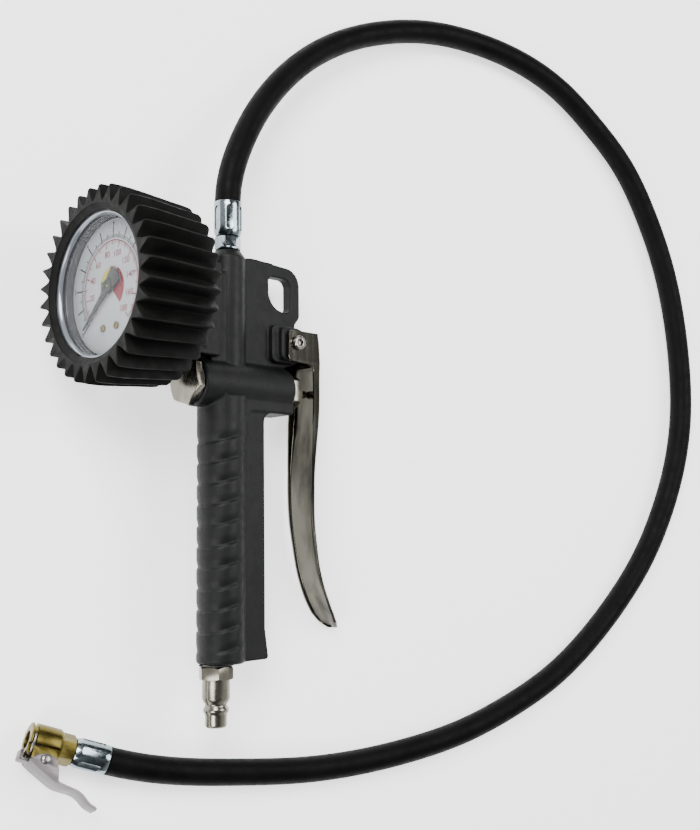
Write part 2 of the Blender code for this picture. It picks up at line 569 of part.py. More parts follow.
def make_pointer():
    """The pointer and its toothed shaft, drawn on the gauge axis."""
    direction = (math.cos(POINTER_ANGLE), math.sin(POINTER_ANGLE))
    blade = [(2.6, -2.2), (9, -1.3), (24.6, -0.55), (26.6, 0), (24.6, 0.55), (9, 1.3), (2.6, 2.2),
             (-1.5, 3.6)]
    tail = np.radians(np.linspace(POINTER_TAIL_SPREAD, -POINTER_TAIL_SPREAD, 7))
    blade += [(-POINTER_TAIL * math.cos(a), POINTER_TAIL * math.sin(a)) for a in tail] + [(-1.5, -3.6)]
    outline = [(u * direction[0] - v * direction[1], u * direction[1] + v * direction[0]) for u, v in blade]
    pointer = add_piece("pointer", prism_mesh("pointer", outline, -62.8, -62.3), GREY, **GAUGE)
    hub = [(0, -61.6), (2.4, -61.6), (3.6, -62.2), (3.6, -63.0), (3.0, -63.4), (0, -63.4)]
    boolean(pointer, [turned_cutter("pointer_hub", hub, 24, phase=0.04, **GAUGE)], "UNION")
    boolean(pointer, [stepped_bore("pointer_bore", [(-64, -61, 1.1)], 0.06, 16, **GAUGE)])
    teeth = []
    for tooth in range(PINION_TEETH):
        for share, radius in ((-0.34, 1.9), (-0.19, 2.5), (-0.1, 2.9), (0.1, 2.9), (0.19, 2.5), (0.34, 1.9)):
            angle = math.tau * (tooth + 0.5 + share) / PINION_TEETH
            teeth.append((radius * math.cos(angle), radius * math.sin(angle)))
    shaft = add_piece("pointer_shaft", prism_mesh("pointer_shaft", teeth, -55.4, -52.4), BRASS, **GAUGE)
    boolean(shaft, [turned_cutter("shaft_bar", [(0, -49.3), (0.8, -49.3), (0.8, -63.2), (0, -63.2)], 16,
                                  phase=0.05, **GAUGE)], "UNION")


def make_movement():
    """The gauge movement: two plates on pillars, the sector gear, its link and the pressure tube."""
    holes = [(0, 0, 1.1), (SECTOR_PIVOT, 0, 0.9)]
    for name, low, high, fixings in (("movement_front_plate", -57.5, -56.3,
                                      [(18.6, -5.3, 0.9), (18.6, 5.3, 0.9)]),
                                     ("movement_back_plate", -50.3, -49.1, [])):
        outline = rounded([(-6.5, -9), (22.8, -9), (22.8, 9), (-6.5, 9)], [2, 2, 2, 2], 3)
        piece = add_piece(name, prism_mesh(name, outline, low, high), BRASS, **GAUGE)
        for number, (x, y, radius) in enumerate(holes + fixings):
            spot = {"at": (0, y, GAUGE_Z - x), "turn": ALONG_X}
            boolean(piece, [stepped_bore(f"{name}_hole_{number}", [(low - 1, high + 1, radius)], 0.05, 12,
                                         **spot)])
    for number, (y, z) in enumerate(((-7.5, -16), (7.5, -16), (-6, 4.5), (6, 4.5))):
        pin(f"movement_pillar_{number + 1}", 1.1, -56.0, -50.6, BRASS, 12, at=(0, y, GAUGE_Z + z),
            turn=ALONG_X)

    pitch = math.tau / (PINION_TEETH * SECTOR_RATIO)
    up = math.pi                                     # the pointer axis lies this way from the sector's pivot
    outline = []
    for tooth in range(-1, 10):
        for share, radius in ((-0.36, -0.65), (-0.19, 0.0), (-0.1, 0.42), (0.1, 0.42), (0.19, 0.0),
                              (0.36, -0.65)):
            angle = up + (tooth + share) * pitch
            outline.append(((SECTOR_R + radius) * math.cos(angle), (SECTOR_R + radius) * math.sin(angle)))
    tail = SWEEP / 2
    rim = []
    for angle, radius in ((up + 9.6 * pitch, 15.0), (up + SWEEP / 2 + 0.9, 2.6), (up + SWEEP / 2 + 1.8, 2.4),
                          (tail - 0.30, 5.0), (tail - 0.24, TAIL_R + 0.6), (tail - 0.12, TAIL_R + 1.5),
                          (tail + 0.12, TAIL_R + 1.5), (tail + 0.24, TAIL_R + 0.6), (tail + 0.30, 5.0),
                          (up + SWEEP / 2 - 1.8, 2.4), (up + SWEEP / 2 - 0.9, 2.6), (up - 1.6 * pitch, 15.0)):
        rim.append((radius * math.cos(angle), radius * math.sin(angle)))
    pivot = {"at": (0, 0, GAUGE_Z - SECTOR_PIVOT), "turn": ALONG_X}
    sector = add_piece("sector_gear", prism_mesh("sector_gear", outline + rim, -54.6, -53.4), BRASS, **pivot)
    tail_at = (TAIL_R * math.cos(tail), TAIL_R * math.sin(tail))
    tail_spot = {"at": (0, tail_at[1], GAUGE_Z - SECTOR_PIVOT - tail_at[0]), "turn": ALONG_X}
    boolean(sector, [
        turned_cutter("sector_arbor", [(0, -49.2), (0.6, -49.2), (0.6, -57.8), (0, -57.8)], 12, phase=0.05,
                      **pivot),
        turned_cutter("sector_tail_pin", [(0, -51.9), (0.6, -51.9), (0.6, -54.0), (0, -54.0)], 12, phase=0.05,
                      **tail_spot)], "UNION")

    start, end = Vector(tail_at), Vector((TAIL_R * math.cos(tail) - 4.6, tail_at[1] - 18.3))
    along = (end - start).normalized()
    across = Vector((-along.y, along.x))
    corners = [start + across * 1.9, end + across * 1.5, end - across * 1.5, start - across * 1.9]
    corners = [corners[3] - along * 1.9, corners[2] + along * 1.5, corners[1] + along * 1.5,
               corners[0] - along * 1.9]
    bar = rounded([tuple(c) for c in corners], [1.6, 1.3, 1.3, 1.6], 4)
    link = add_piece("tip_link", prism_mesh("tip_link", bar, -53.1, -52.5), STEEL, **pivot)
    end_spot = {"at": (0, end.y, GAUGE_Z - SECTOR_PIVOT - end.x), "turn": ALONG_X}
    boolean(link, [turned_cutter("link_post", [(0, -46.7), (1.0, -46.7), (1.0, -52.8), (0, -52.8)], 14,
                                 phase=0.05,
                                 **end_spot)], "UNION")
    boolean(link, [stepped_bore("link_hole", [(-54, -51.5, 1.2)], 0.04, 16, **tail_spot)])

    tube_r = math.hypot(end.x + SECTOR_PIVOT, end.y)
    last = math.atan2(end.y, end.x + SECTOR_PIVOT)
    sweep = np.linspace(math.radians(19), math.tau + last, 40)
    tube("bourdon_tube", [(-44.5, tube_r * math.sin(a), GAUGE_Z - tube_r * math.cos(a)) for a in sweep],
         1.6, BRASS)

    socket = hex_piece("gauge_socket", 17.0, -31.0, -23.3, BRASS,
                       [[(0, -12.3), (5.4, -12.3), (6.2, -13.1), (6.2, -24), (0, -24)],
                        [(0, -30), (5.2, -30), (5.2, -42), (0, -42)]], [], 0.0, "low", **GAUGE)
    boolean(socket, [cutter(box_mesh("socket_block", (-5, -6, -48.8), (28.5, 7.5, -40)), **GAUGE)], "UNION")
    boolean(socket, [stepped_bore("socket_bore", [(-44, -11, 1.5)], 0.04, 16, **GAUGE)])
    washer("gauge_seal", 6.5, 9.3, -23.0, -22.3, SEAL, **GAUGE)


# ================================================================ air fittings and hose
def crimped_ferrule(name, low, high, taper, **place):
    """A sleeve pressed over the hose end, with six oval crimps; taper gives its two end radii."""
    sleeve = turned(name, [(FERRULE_BORE, high), (taper[1] - 0.3, high), (taper[1], high - 0.3),
                           (FERRULE_R, high - 2.5), (FERRULE_R, low + 2.5), (taper[0], low + 0.3),
                           (taper[0] - 0.3, low), (FERRULE_BORE, low)], ZINC, 36, True, **place)
    middle, reach = (low + high) / 2, (high - low) / 2 - 3.2
    outline = rounded([(-1.7, middle - reach), (1.7, middle - reach), (1.7, middle + reach),
                       (-1.7, middle + reach)],
                      [1.6] * 4, 3)
    # each crimp is a slab outside the sleeve; its drawing plane is turned to face the axis
    upright = Matrix.Rotation(math.pi / 2, 4, "X")
    for number in range(6):
        mesh = prism_mesh(f"{name}_crimp_{number}", outline, FERRULE_R - 0.7, FERRULE_R + 2)
        mesh.transform(Matrix.Rotation(math.tau * (number + 0.5) / 6, 4, "Z") @ upright)
        boolean(sleeve, [cutter(mesh, **place)])
    return sleeve


def barb(low, high):
    """Profile of a ridged hose tail."""
    profile, z = [(0, high), (BARB_R - 0.9, high)], high
    while z - 3.4 > low + 1:
        profile += [(BARB_R, z - 2.2), (BARB_R, z - 2.8), (BARB_R - 0.6, z - 3.0)]
        z -= 3.4
    return profile + [(BARB_R - 0.6, low), (0, low)]


def make_fittings():
    plug = [(0, -134.9), (6.62, -134.9), (6.62, -141.4), (6.2, -147.6), (6.0, -148.8), (5.0, -151.2),
            (5.0, -152.4),
            (6.0, -153.9), (6.0, -155.0), (5.1, -156.6), (5.0, -161.6), (4.2, -162.6), (0, -162.6)]
    thread = [(0, -119.6), (5.6, -119.6), (6.3, -120.4), (6.3, -136), (0, -136)]
    hex_piece("inlet_plug", 15.0, -140.6, -134.4, NICKEL, [thread, plug], [[(-164, -118, 2.75)]])
    washer("plug_seal", 6.6, 8.2, -134.1, -133.7, SEAL)
    port = {"at": (PORT_X, 0, 0)}
    hex_piece("hose_nut", 11.7, PORT_TOP + GAP, 74.3, ZINC,
              [[(0, 69.0), (6.1, 69.0), (6.4, 68.8), (6.4, 67.9), (6.1, PORT_TOP + GAP), (0, PORT_TOP + GAP)],
               [(0, 68.2), (4.6, 68.2), (4.6, 57.0), (4.1, 56.4), (0, 56.4)], barb(73.5, 91.4)],
              [[(55, 93, 1.8)]], 0.69, **port)
    crimped_ferrule("top_ferrule", 74.6, 92.2, (6.2, FERRULE_R), **port)


def make_hose():
    leaving, heading = Vector((0, 1, 0)), Vector((math.cos(CHUCK_HEADING), math.sin(CHUCK_HEADING), 0))
    points = [Vector(p) for p in smooth_curve(HOSE_ROUTE, HOSE_POINTS, leaving, heading)]
    # a short straight stub squares each end to its ferrule
    points = [points[0], points[0] + leaving * 2] + points[1:-1] + [points[-1] - heading * 2, points[-1]]
    tube("air_hose", points, HOSE_D / 2, RUBBER, parent=None)


# ================================================================ tyre chuck
CHUCK = {"parent": chuck_pose, "turn": ALONG_X}


def chuck_plate(name, outline, low, high):
    """A plate drawn in the chuck's x and y, from low to high across it."""
    return cutter(prism_mesh(name, outline, low, high), parent=chuck_pose)


def make_chuck():
    crimped_ferrule("chuck_ferrule", 0.3, 17.0, (FERRULE_R, 6.2), **CHUCK)
    body = hex_piece("chuck_body", 12.5, 17.3, 24.5, BRASS,
                     [[(0, 18.0), (BARB_R - 0.6, 18.0), (BARB_R - 0.6, 13.0), (BARB_R, 12.6),
                       (BARB_R - 0.6, 9.4),
                       (BARB_R, 9.0), (BARB_R - 0.6, 5.6), (BARB_R, 5.2), (BARB_R - 0.9, 1.5), (0, 1.5)],
                      [(0, CHUCK_MOUTH_X), (7.4, CHUCK_MOUTH_X), (CHUCK_BODY_R, CHUCK_MOUTH_X - 0.8),
                       (CHUCK_BODY_R, 25.0), (7.2, 23.6), (0, 23.6)]], [], 0.3, "low", **CHUCK)
    for side in (-1, 1):
        low, high = sorted((side * CHUCK_FLAT, side * 12))
        boolean(body, [cutter(box_mesh(f"chuck_flat_{side + 1}", (24.4, 2.3, low), (42, 12, high)),
                              parent=chuck_pose)])
    lug = rounded([(25.2, 2), (25.2, 10.2), (31.2, 10.4), (38.6, 7.3), (38.6, 2)], [0, 1.5, 1.5, 0.6, 0], 3)
    boolean(body, [chuck_plate("chuck_lug", lug, -CHUCK_FLAT, CHUCK_FLAT)], "UNION")
    boolean(body, [
        stepped_bore("chuck_bore", [(0, 26.5, 1.8), (33.0, CHUCK_MOUTH_R), (36.0, 5.9), (41, CHUCK_MOUTH_R)],
                     0.05, 24, **CHUCK),
        turned_cutter("wire_groove", [(6.9, 38.2), (14, 38.2), (14, 36.2), (6.9, 36.2)], 28, True, 0.09,
                      **CHUCK),
        turned_cutter("rivet_bore", [(0, 9), (1.8, 9), (1.8, -9), (0, -9)], 16, phase=0.05, parent=chuck_pose,
                      at=(*CHUCK_RIVET, 0))])
    arc = np.linspace(math.radians(-12), math.radians(192), 20)
    tube("chuck_spring_wire", [(37.2, 7.75 * math.sin(a), 7.75 * math.cos(a)) for a in arc], 0.6, STEEL,
         parent=chuck_pose)
    washer("chuck_gasket", 2.6, 5.6, 33.3, 35.7, SEAL, 24, **CHUCK)
    pin_profile = [(0, 35.2), (0.8, 35.2), (1.2, 34.8), (1.2, 28.2), (3.9, 28.2), (3.9, 27.0), (0, 27.0)]
    depressor = turned("valve_depressor", pin_profile, BRASS, 24, **CHUCK)
    for number in range(3):
        angle = math.tau * number / 3
        spot = {"parent": chuck_pose, "turn": ALONG_X,
                "at": (0, 2.6 * math.sin(angle), 2.6 * math.cos(angle))}
        boolean(depressor, [stepped_bore(f"air_hole_{number}", [(26, 29, 0.8)], 0.05, 12, **spot)])
    make_chuck_lever()


def make_chuck_lever():
    rx, ry = CHUCK_RIVET
    web = [(36.6, 9.9), (31.8, 12.5), (26.4, 15.1), (22.0, 17.0), (16.7, 17.9), (11.6, 18.6), (8.2, 20.3),
           (5.4, 22.3), (1.0, 23.9)]
    knots = smooth_curve([(x, y, 0) for x, y in web], 22, (-0.85, 0.5, 0), (-0.93, 0.35, 0))
    outer, inner = [], []
    for i, point in enumerate(knots):
        here, there = Vector(knots[max(i - 1, 0)]), Vector(knots[min(i + 1, len(knots) - 1)])
        along = (there - here).normalized()
        normal = Vector((along.y, -along.x, 0))
        outer.append((point[0] - rx, point[1] - ry))
        inner.append((point[0] + normal.x * -1.2 - rx, point[1] + normal.y * -1.2 - ry))
    strip = outer + inner[::-1]
    lever = add_piece("chuck_lever", prism_mesh("chuck_lever", strip, -6.7, 6.7), STEEL,
                      at=(rx, ry, 0), parent=chuck_pose)
    claw = [(36.0, 10.3), (37.4, 9.9), (40.6, 9.8), (41.2, 9.2), (41.0, 5.2), (39.8, 5.2), (39.7, 8.7),
            (37.0, 8.75),
            (36.0, 9.2)]
    ear = rounded([(37.2, 9.6), (34.2, 6.6), (29.8, 5.4), (25.6, 6.2), (22.8, 10.8), (21.6, 16.9),
                   (26.2, 14.9),
                   (31.6, 12.2)], [0.5, 2, 4, 3, 3, 0.4, 0, 0], 4)
    boolean(lever, [chuck_plate("claw", claw, -3.2, 3.2), chuck_plate("ear_low", ear, -6.7, -5.5),
                    chuck_plate("ear_high", ear, 5.5, 6.7)], "UNION")
    wedge = [(21.0, 6.8), (14.0, 5.3), (1.6, 4.2), (0.4, 3.0), (-3, 2.0), (-3, 12), (21.0, 12)]
    boolean(lever, [cutter(prism_mesh(f"tab_side_{side}", [(x, side * z) for x, z in wedge], -30, -8),
                           turn=ACROSS_Y, parent=chuck_pose) for side in (-1, 1)])
    boolean(lever, [turned_cutter("lever_rivet_hole", [(0, 9), (1.8, 9), (1.8, -9), (0, -9)], 16, phase=0.03,
                                  parent=chuck_pose, at=(rx, ry, 0))])
    turned("chuck_rivet", [(0, 7.9), (1.6, 7.9), (2.3, 7.3), (2.3, 7.0), (1.5, 7.0), (1.5, -7.0), (2.3, -7.0),
                           (2.3, -7.3), (1.6, -7.9), (0, -7.9)], STEEL, 20, parent=chuck_pose, at=(rx, ry, 0))


make_gun_body()
make_valve()
make_trigger()
make_boot()
make_case()
make_pointer()
make_movement()
make_fittings()
make_hose()
make_chuck()
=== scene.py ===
"""Looks of the hand tyre inflator: fine meshes, procedural materials, studio floor and the camera."""

import math

import bmesh
import bpy
import numpy as np
from mathutils import Matrix, Vector


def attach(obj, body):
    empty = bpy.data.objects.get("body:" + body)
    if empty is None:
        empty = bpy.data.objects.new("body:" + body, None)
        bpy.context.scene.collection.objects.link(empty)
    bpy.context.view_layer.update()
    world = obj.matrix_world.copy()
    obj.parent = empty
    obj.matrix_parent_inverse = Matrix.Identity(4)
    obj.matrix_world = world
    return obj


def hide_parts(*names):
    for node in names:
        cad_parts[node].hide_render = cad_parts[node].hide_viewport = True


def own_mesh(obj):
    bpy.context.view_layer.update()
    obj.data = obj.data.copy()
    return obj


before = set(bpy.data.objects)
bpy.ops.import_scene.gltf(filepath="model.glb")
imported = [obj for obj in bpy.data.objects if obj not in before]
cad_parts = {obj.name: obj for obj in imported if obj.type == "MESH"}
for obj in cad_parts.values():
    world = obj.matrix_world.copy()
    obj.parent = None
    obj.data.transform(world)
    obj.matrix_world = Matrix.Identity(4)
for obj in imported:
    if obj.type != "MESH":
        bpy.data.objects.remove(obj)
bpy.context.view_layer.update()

MM = 0.001
HOSE_D, HOSE_LENGTH = 13.0, 961.0
GRIP_LOW = -133.4               # foot of the grip below the valve axis
GAUGE_Z = 38.9                  # gauge axis above the valve axis, in the gun's frame
PORT_X = 6.9                    # hose port ahead of the inlet axis
PIVOT = (43.0, 24.1)            # x and z of the trigger pivot
POINTER_ANGLE = math.atan2(20.0, 17.6)
CHUCK_RIVET = (29.8, 7.8)
CHUCK_HEADING = math.radians(161.5)
INK_X = -61.03                  # the dial's print, along the gauge axis
HOSE_ROUTE = [(9.85, 128.1, 28.05), (17, 159, 26.6), (33, 188, 22.4), (54, 212, 17.8), (80, 231, 13.8),
              (110, 244, 10.5), (141, 251, 7.8), (173, 251, 6.5), (203, 245, 6.5), (232, 232, 6.5),
              (256, 213, 6.5), (278, 190, 6.5), (294, 162, 6.5), (306, 131, 6.5), (313, 99, 6.5),
              (316, 67, 6.5), (315, 34, 6.5), (308, 3, 6.5), (296, -26, 6.5), (280, -53, 6.5),
              (260, -77, 6.5), (237, -99, 6.5), (211, -118, 6.5), (183, -132, 6.5), (153, -143, 6.5),
              (121, -150, 6.5), (89, -154, 6.5), (56, -155, 6.6), (24, -153, 7.0), (-8, -149.5, 7.8),
              (-42.2, -141.5, 8.4)]


def placed(origin, turn):
    return Matrix.Translation(Vector(origin) * MM) @ turn


LEAN = math.radians(19.34)
GUN = placed((3.35, 35.6, 30.35), Matrix.Rotation(LEAN, 4, "Y") @ Matrix.Rotation(-math.pi / 2, 4, "X"))
CHUCK = placed((-42.5, -141.4, 8.4), Matrix.Rotation(CHUCK_HEADING, 4, "Z")
               @ Matrix.Rotation(math.radians(20), 4, "X"))
ALONG_X = Matrix.Rotation(math.pi / 2, 4, "Y")      # lays a piece drawn along z on the frame's x axis
ACROSS_Y = Matrix.Rotation(math.pi / 2, 4, "X")     # lays a piece drawn along z on the frame's -y axis
GAUGE = GUN @ placed((0, 0, GAUGE_Z), ALONG_X)


# ================================================================ camera
def make_camera():
    camera = bpy.data.objects.new("camera", bpy.data.cameras.new("camera"))
    bpy.context.scene.collection.objects.link(camera)
    right, up = (0.90012, -0.01175, 0.43548), (-0.04087, 0.99295, 0.11126)
    back = (-0.43372, -0.11795, 0.89329)
    spot = Vector((-180.03, -45.82, 555.99)) * MM
    camera.matrix_world = Matrix([(right[i], up[i], back[i], spot[i]) for i in range(3)] + [(0, 0, 0, 1)])
    camera.data.lens = 49.88
    camera.data.sensor_width = 36
    camera.data.clip_start = 0.01
    bpy.context.scene.camera = camera


# ================================================================ materials
def new_material(name, color, roughness, metallic=0.0, **sockets):
    material = bpy.data.materials.new(name)
    material.use_nodes = True
    shader = material.node_tree.nodes["Principled BSDF"]
    shader.inputs["Base Color"].default_value = (*color, 1)
    shader.inputs["Roughness"].default_value = roughness
    shader.inputs["Metallic"].default_value = metallic
    for socket, value in sockets.items():
        shader.inputs[socket.replace("_", " ")].default_value = value
    return material


def texture(material, kind="ShaderNodeTexNoise", scale=1000.0, stretch=(1, 1, 1), detail=3.0):
    """A texture in the piece's own coordinates; returns its value output."""
    tree = material.node_tree
    coords = tree.nodes.new("ShaderNodeTexCoord")
    mapping = tree.nodes.new("ShaderNodeMapping")
    mapping.inputs["Scale"].default_value = stretch
    tree.links.new(coords.outputs["Object"], mapping.inputs["Vector"])
    node = tree.nodes.new(kind)
    node.inputs["Scale"].default_value = scale
    if "Detail" in node.inputs:
        node.inputs["Detail"].default_value = detail
    tree.links.new(mapping.outputs["Vector"], node.inputs["Vector"])
    return node.outputs["Fac"] if "Fac" in node.outputs else node.outputs["Distance"]


def vary(material, socket, value, low, high, spread=(0.3, 0.7)):
    """Drives a number or colour socket from low to high with a texture value."""
    tree = material.node_tree
    shader = tree.nodes["Principled BSDF"]
    ramp = tree.nodes.new("ShaderNodeValToRGB")
    ramp.color_ramp.elements[0].position, ramp.color_ramp.elements[1].position = spread
    as_color = (lambda v: (*v, 1)) if isinstance(low, tuple) else (lambda v: (v, v, v, 1))
    ramp.color_ramp.elements[0].color, ramp.color_ramp.elements[1].color = as_color(low), as_color(high)
    tree.links.new(value, ramp.inputs["Fac"])
    tree.links.new(ramp.outputs["Color"], shader.inputs[socket])


def bump(material, value, height, strength=1.0):
    tree = material.node_tree
    node = tree.nodes.new("ShaderNodeBump")
    node.inputs["Strength"].default_value = strength
    node.inputs["Distance"].default_value = height * MM
    tree.links.new(value, node.inputs["Height"])
    tree.links.new(node.outputs["Normal"], tree.nodes["Principled BSDF"].inputs["Normal"])


def make_materials():
    looks = {}
    cast = new_material("cast_paint", (0.012, 0.013, 0.013), 0.48, 0.0, Specular_IOR_Level=0.2)
    vary(cast, "Base Color", texture(cast, scale=160, detail=6), (0.0022, 0.0027, 0.0025),
         (0.0055, 0.0063, 0.0058))
    vary(cast, "Roughness", texture(cast, scale=420), 0.42, 0.56)
    bump(cast, texture(cast, scale=2600, detail=2), 0.05, 0.5)
    looks["cast"] = cast

    nickel = new_material("nickel", (0.52, 0.50, 0.44), 0.24, 1.0)
    vary(nickel, "Base Color", texture(nickel, scale=90, detail=5), (0.15, 0.14, 0.115), (0.27, 0.255, 0.21))
    vary(nickel, "Roughness", texture(nickel, scale=300, stretch=(1, 1, 0.2)), 0.18, 0.32)
    bump(nickel, texture(nickel, scale=900, detail=4), 0.03, 0.35)
    looks["nickel"] = nickel

    lever = new_material("lever_steel", (0.33, 0.32, 0.27), 0.26, 1.0)
    # the base colour runs in long light and dark streaks along the blade: painted reflections that stand in
    # for the mirrored surroundings
    vary(lever, "Base Color", texture(lever, scale=60, stretch=(1, 1, 0.3), detail=6), (0.028, 0.027, 0.021),
         (0.13, 0.125, 0.105), (0.42, 0.62))
    vary(lever, "Roughness", texture(lever, scale=500, stretch=(1, 1, 0.08)), 0.1, 0.24)
    bump(lever, texture(lever, scale=1500, stretch=(1, 1, 0.05), detail=4), 0.02, 0.4)
    looks["lever"] = lever

    steel = new_material("bright_steel", (0.26, 0.25, 0.235), 0.25, 1.0)
    vary(steel, "Roughness", texture(steel, scale=600), 0.2, 0.36)
    looks["steel"] = steel

    clip = new_material("clip_steel", (0.13, 0.118, 0.122), 0.3, 1.0)
    vary(clip, "Roughness", texture(clip, scale=700, stretch=(0.2, 1, 1)), 0.28, 0.44)
    bump(clip, texture(clip, scale=1400, detail=3), 0.03, 0.4)
    looks["clip"] = clip

    zinc = new_material("zinc_plate", (0.62, 0.69, 0.74), 0.16, 1.0)
    vary(zinc, "Base Color", texture(zinc, scale=120, detail=4), (0.16, 0.20, 0.22), (0.34, 0.39, 0.42))
    vary(zinc, "Roughness", texture(zinc, scale=500), 0.10, 0.24)
    looks["zinc"] = zinc

    brass = new_material("olive_brass", (0.36, 0.30, 0.10), 0.33, 1.0)
    vary(brass, "Base Color", texture(brass, scale=150, detail=6), (0.085, 0.068, 0.015),
         (0.17, 0.135, 0.036))
    vary(brass, "Roughness", texture(brass, scale=700, stretch=(1, 1, 0.1)), 0.26, 0.42)
    bump(brass, texture(brass, scale=2200, stretch=(0.05, 1, 1)), 0.02, 0.4)
    looks["brass"] = brass

    rubber = new_material("boot_rubber", (0.003, 0.003, 0.003), 0.62, 0.0, Specular_IOR_Level=0.12)
    vary(rubber, "Base Color", texture(rubber, scale=110, detail=6), (0.0022, 0.0022, 0.0020),
         (0.006, 0.006, 0.0055))
    vary(rubber, "Roughness", texture(rubber, scale=260), 0.5, 0.72)
    bump(rubber, texture(rubber, scale=1800, detail=3), 0.04, 0.5)
    looks["rubber"] = rubber

    hose = new_material("hose_rubber", (0.005, 0.0053, 0.005), 0.55, 0.0, Specular_IOR_Level=0.07)
    vary(hose, "Base Color", texture(hose, scale=70, detail=6), (0.0008, 0.0009, 0.0008),
         (0.0022, 0.0024, 0.0022))
    vary(hose, "Roughness", texture(hose, scale=240, detail=5), 0.44, 0.64)
    bump(hose, texture(hose, scale=1300, detail=4), 0.03, 0.5)
    looks["hose"] = hose

    looks["seal"] = new_material("seal_rubber", (0.02, 0.02, 0.02), 0.5)
    vary(looks["seal"], "Roughness", texture(looks["seal"], scale=600), 0.42, 0.6)
    rim = new_material("clear_rim", (0.20, 0.22, 0.25), 0.12, 0.35, Coat_Weight=0.6)
    vary(rim, "Base Color", texture(rim, scale=60, detail=3), (0.16, 0.18, 0.21), (0.27, 0.29, 0.32))
    looks["rim"] = rim
    channel = new_material("dark_channel", (0.03, 0.033, 0.037), 0.2, 0.3)
    vary(channel, "Roughness", texture(channel, scale=300), 0.16, 0.3)
    looks["channel"] = channel
    dial = new_material("dial_white", (0.26, 0.28, 0.295), 0.5)
    vary(dial, "Base Color", texture(dial, scale=80, detail=4), (0.24, 0.26, 0.275), (0.29, 0.31, 0.325))
    looks["dial"] = dial
    lens = new_material("lens_plastic", (0.95, 0.97, 1.0), 0.06, 0.0, Alpha=0.03)
    vary(lens, "Roughness", texture(lens, scale=120, detail=3), 0.04, 0.1)
    looks["lens"] = lens
    pointer = new_material("pointer_paint", (0.010, 0.013, 0.011), 0.5, 0.0, Specular_IOR_Level=0.15)
    vary(pointer, "Roughness", texture(pointer, scale=900), 0.36, 0.5)
    looks["pointer"] = pointer
    for name, color in (("ink_black", (0.012, 0.012, 0.014)), ("ink_red", (0.15, 0.005, 0.014)),
                        ("ink_green", (0.02, 0.07, 0.008)), ("ink_yellow", (0.30, 0.26, 0.004)),
                        ("ink_orange", (0.30, 0.09, 0.008))):
        looks[name] = new_material(name, color, 0.45, 0.0, Specular_IOR_Level=0.1)
        vary(looks[name], "Roughness", texture(looks[name], scale=900), 0.4, 0.5)
    return looks


LOOKS = make_materials()


# ================================================================ mesh helpers, in millimetres
def to_object(name, mesh, place, look, smooth=32):
    """Places a mesh and shades it smooth except across edges sharper than the given angle."""
    piece = bpy.data.objects.new(name, mesh)
    bpy.context.scene.collection.objects.link(piece)
    piece.matrix_world = place
    mesh.materials.clear()
    mesh.materials.append(LOOKS[look])
    mesh.polygons.foreach_set("use_smooth", [True] * len(mesh.polygons))
    mesh.set_sharp_from_angle(angle=math.radians(smooth))
    return piece


def mesh_of(name, verts, faces):
    mesh = bpy.data.meshes.new(name)
    mesh.from_pydata([tuple(Vector(v) * MM) for v in verts], [], faces)
    bm = bmesh.new()
    bm.from_mesh(mesh)
    bmesh.ops.remove_doubles(bm, verts=bm.verts, dist=1e-6)
    bmesh.ops.dissolve_degenerate(bm, edges=bm.edges, dist=1e-7)
    bmesh.ops.recalc_face_normals(bm, faces=bm.faces)
    bm.to_mesh(mesh)
    bm.free()
    return mesh


def rounded(points, radii, steps=6):
    """Rounds the corners of a closed outline."""
    out, count = [], len(points)
    for i, corner in enumerate(points):
        corner, radius = Vector(corner), radii[i] if isinstance(radii, (list, tuple)) else radii
        if radius == 0:
            out.append(tuple(corner))
            continue
        before = (Vector(points[i - 1]) - corner).normalized()
        after = (Vector(points[(i + 1) % count]) - corner).normalized()
        half = before.angle(after) / 2
        if half > 1.55:
            out.append(tuple(corner))
            continue
        centre = corner + (before + after).normalized() * (radius / math.sin(half))
        start = corner + before * (radius / math.tan(half)) - centre
        stop = corner + after * (radius / math.tan(half)) - centre
        side = 1 if start.x * stop.y - start.y * stop.x > 0 else -1
        for k in range(steps + 1):
            out.append(tuple(centre + Matrix.Rotation(side * start.angle(stop) * k / steps, 2) @ start))
    return out


def spin(name, profile, steps=96, closed=False, radius_at=None):
    """Turns (radius, height) points about z. radius_at(radius, height, angle) may shape the surface."""
    count, verts, faces = len(profile), [], []
    for step in range(steps):
        angle = math.tau * step / steps
        for r, z in profile:
            here = radius_at(r, z, angle) if radius_at else r
            verts.append((here * math.cos(angle), here * math.sin(angle), z))
    for step in range(steps):
        a, b = step * count, (step + 1) % steps * count
        faces += [(a + i, a + (i + 1) % count, b + (i + 1) % count, b + i)
                  for i in range(count if closed else count - 1)]
    return mesh_of(name, verts, faces)


def prism(name, outline, low, high):
    count = len(outline)
    verts = [(x, y, z) for z in (low, high) for x, y in outline]
    faces = [(i, (i + 1) % count, count + (i + 1) % count, count + i) for i in range(count)]
    return mesh_of(name, verts, faces + [tuple(range(count)), tuple(range(count, 2 * count))])


def loft(name, rings):
    count, verts = len(rings[0]), [p for ring in rings for p in ring]
    faces = [(r * count + k, r * count + (k + 1) % count, (r + 1) * count + (k + 1) % count,
              (r + 1) * count + k)
             for r in range(len(rings) - 1) for k in range(count)]
    last = (len(rings) - 1) * count
    return mesh_of(name, verts, faces + [tuple(range(count)), tuple(range(last, last + count))])


def hexagon(across, turn=0.0):
    radius = across / 2 / math.cos(math.pi / 6)
    return [(radius * math.cos(turn + k * math.pi / 3),
             radius * math.sin(turn + k * math.pi / 3)) for k in range(6)]


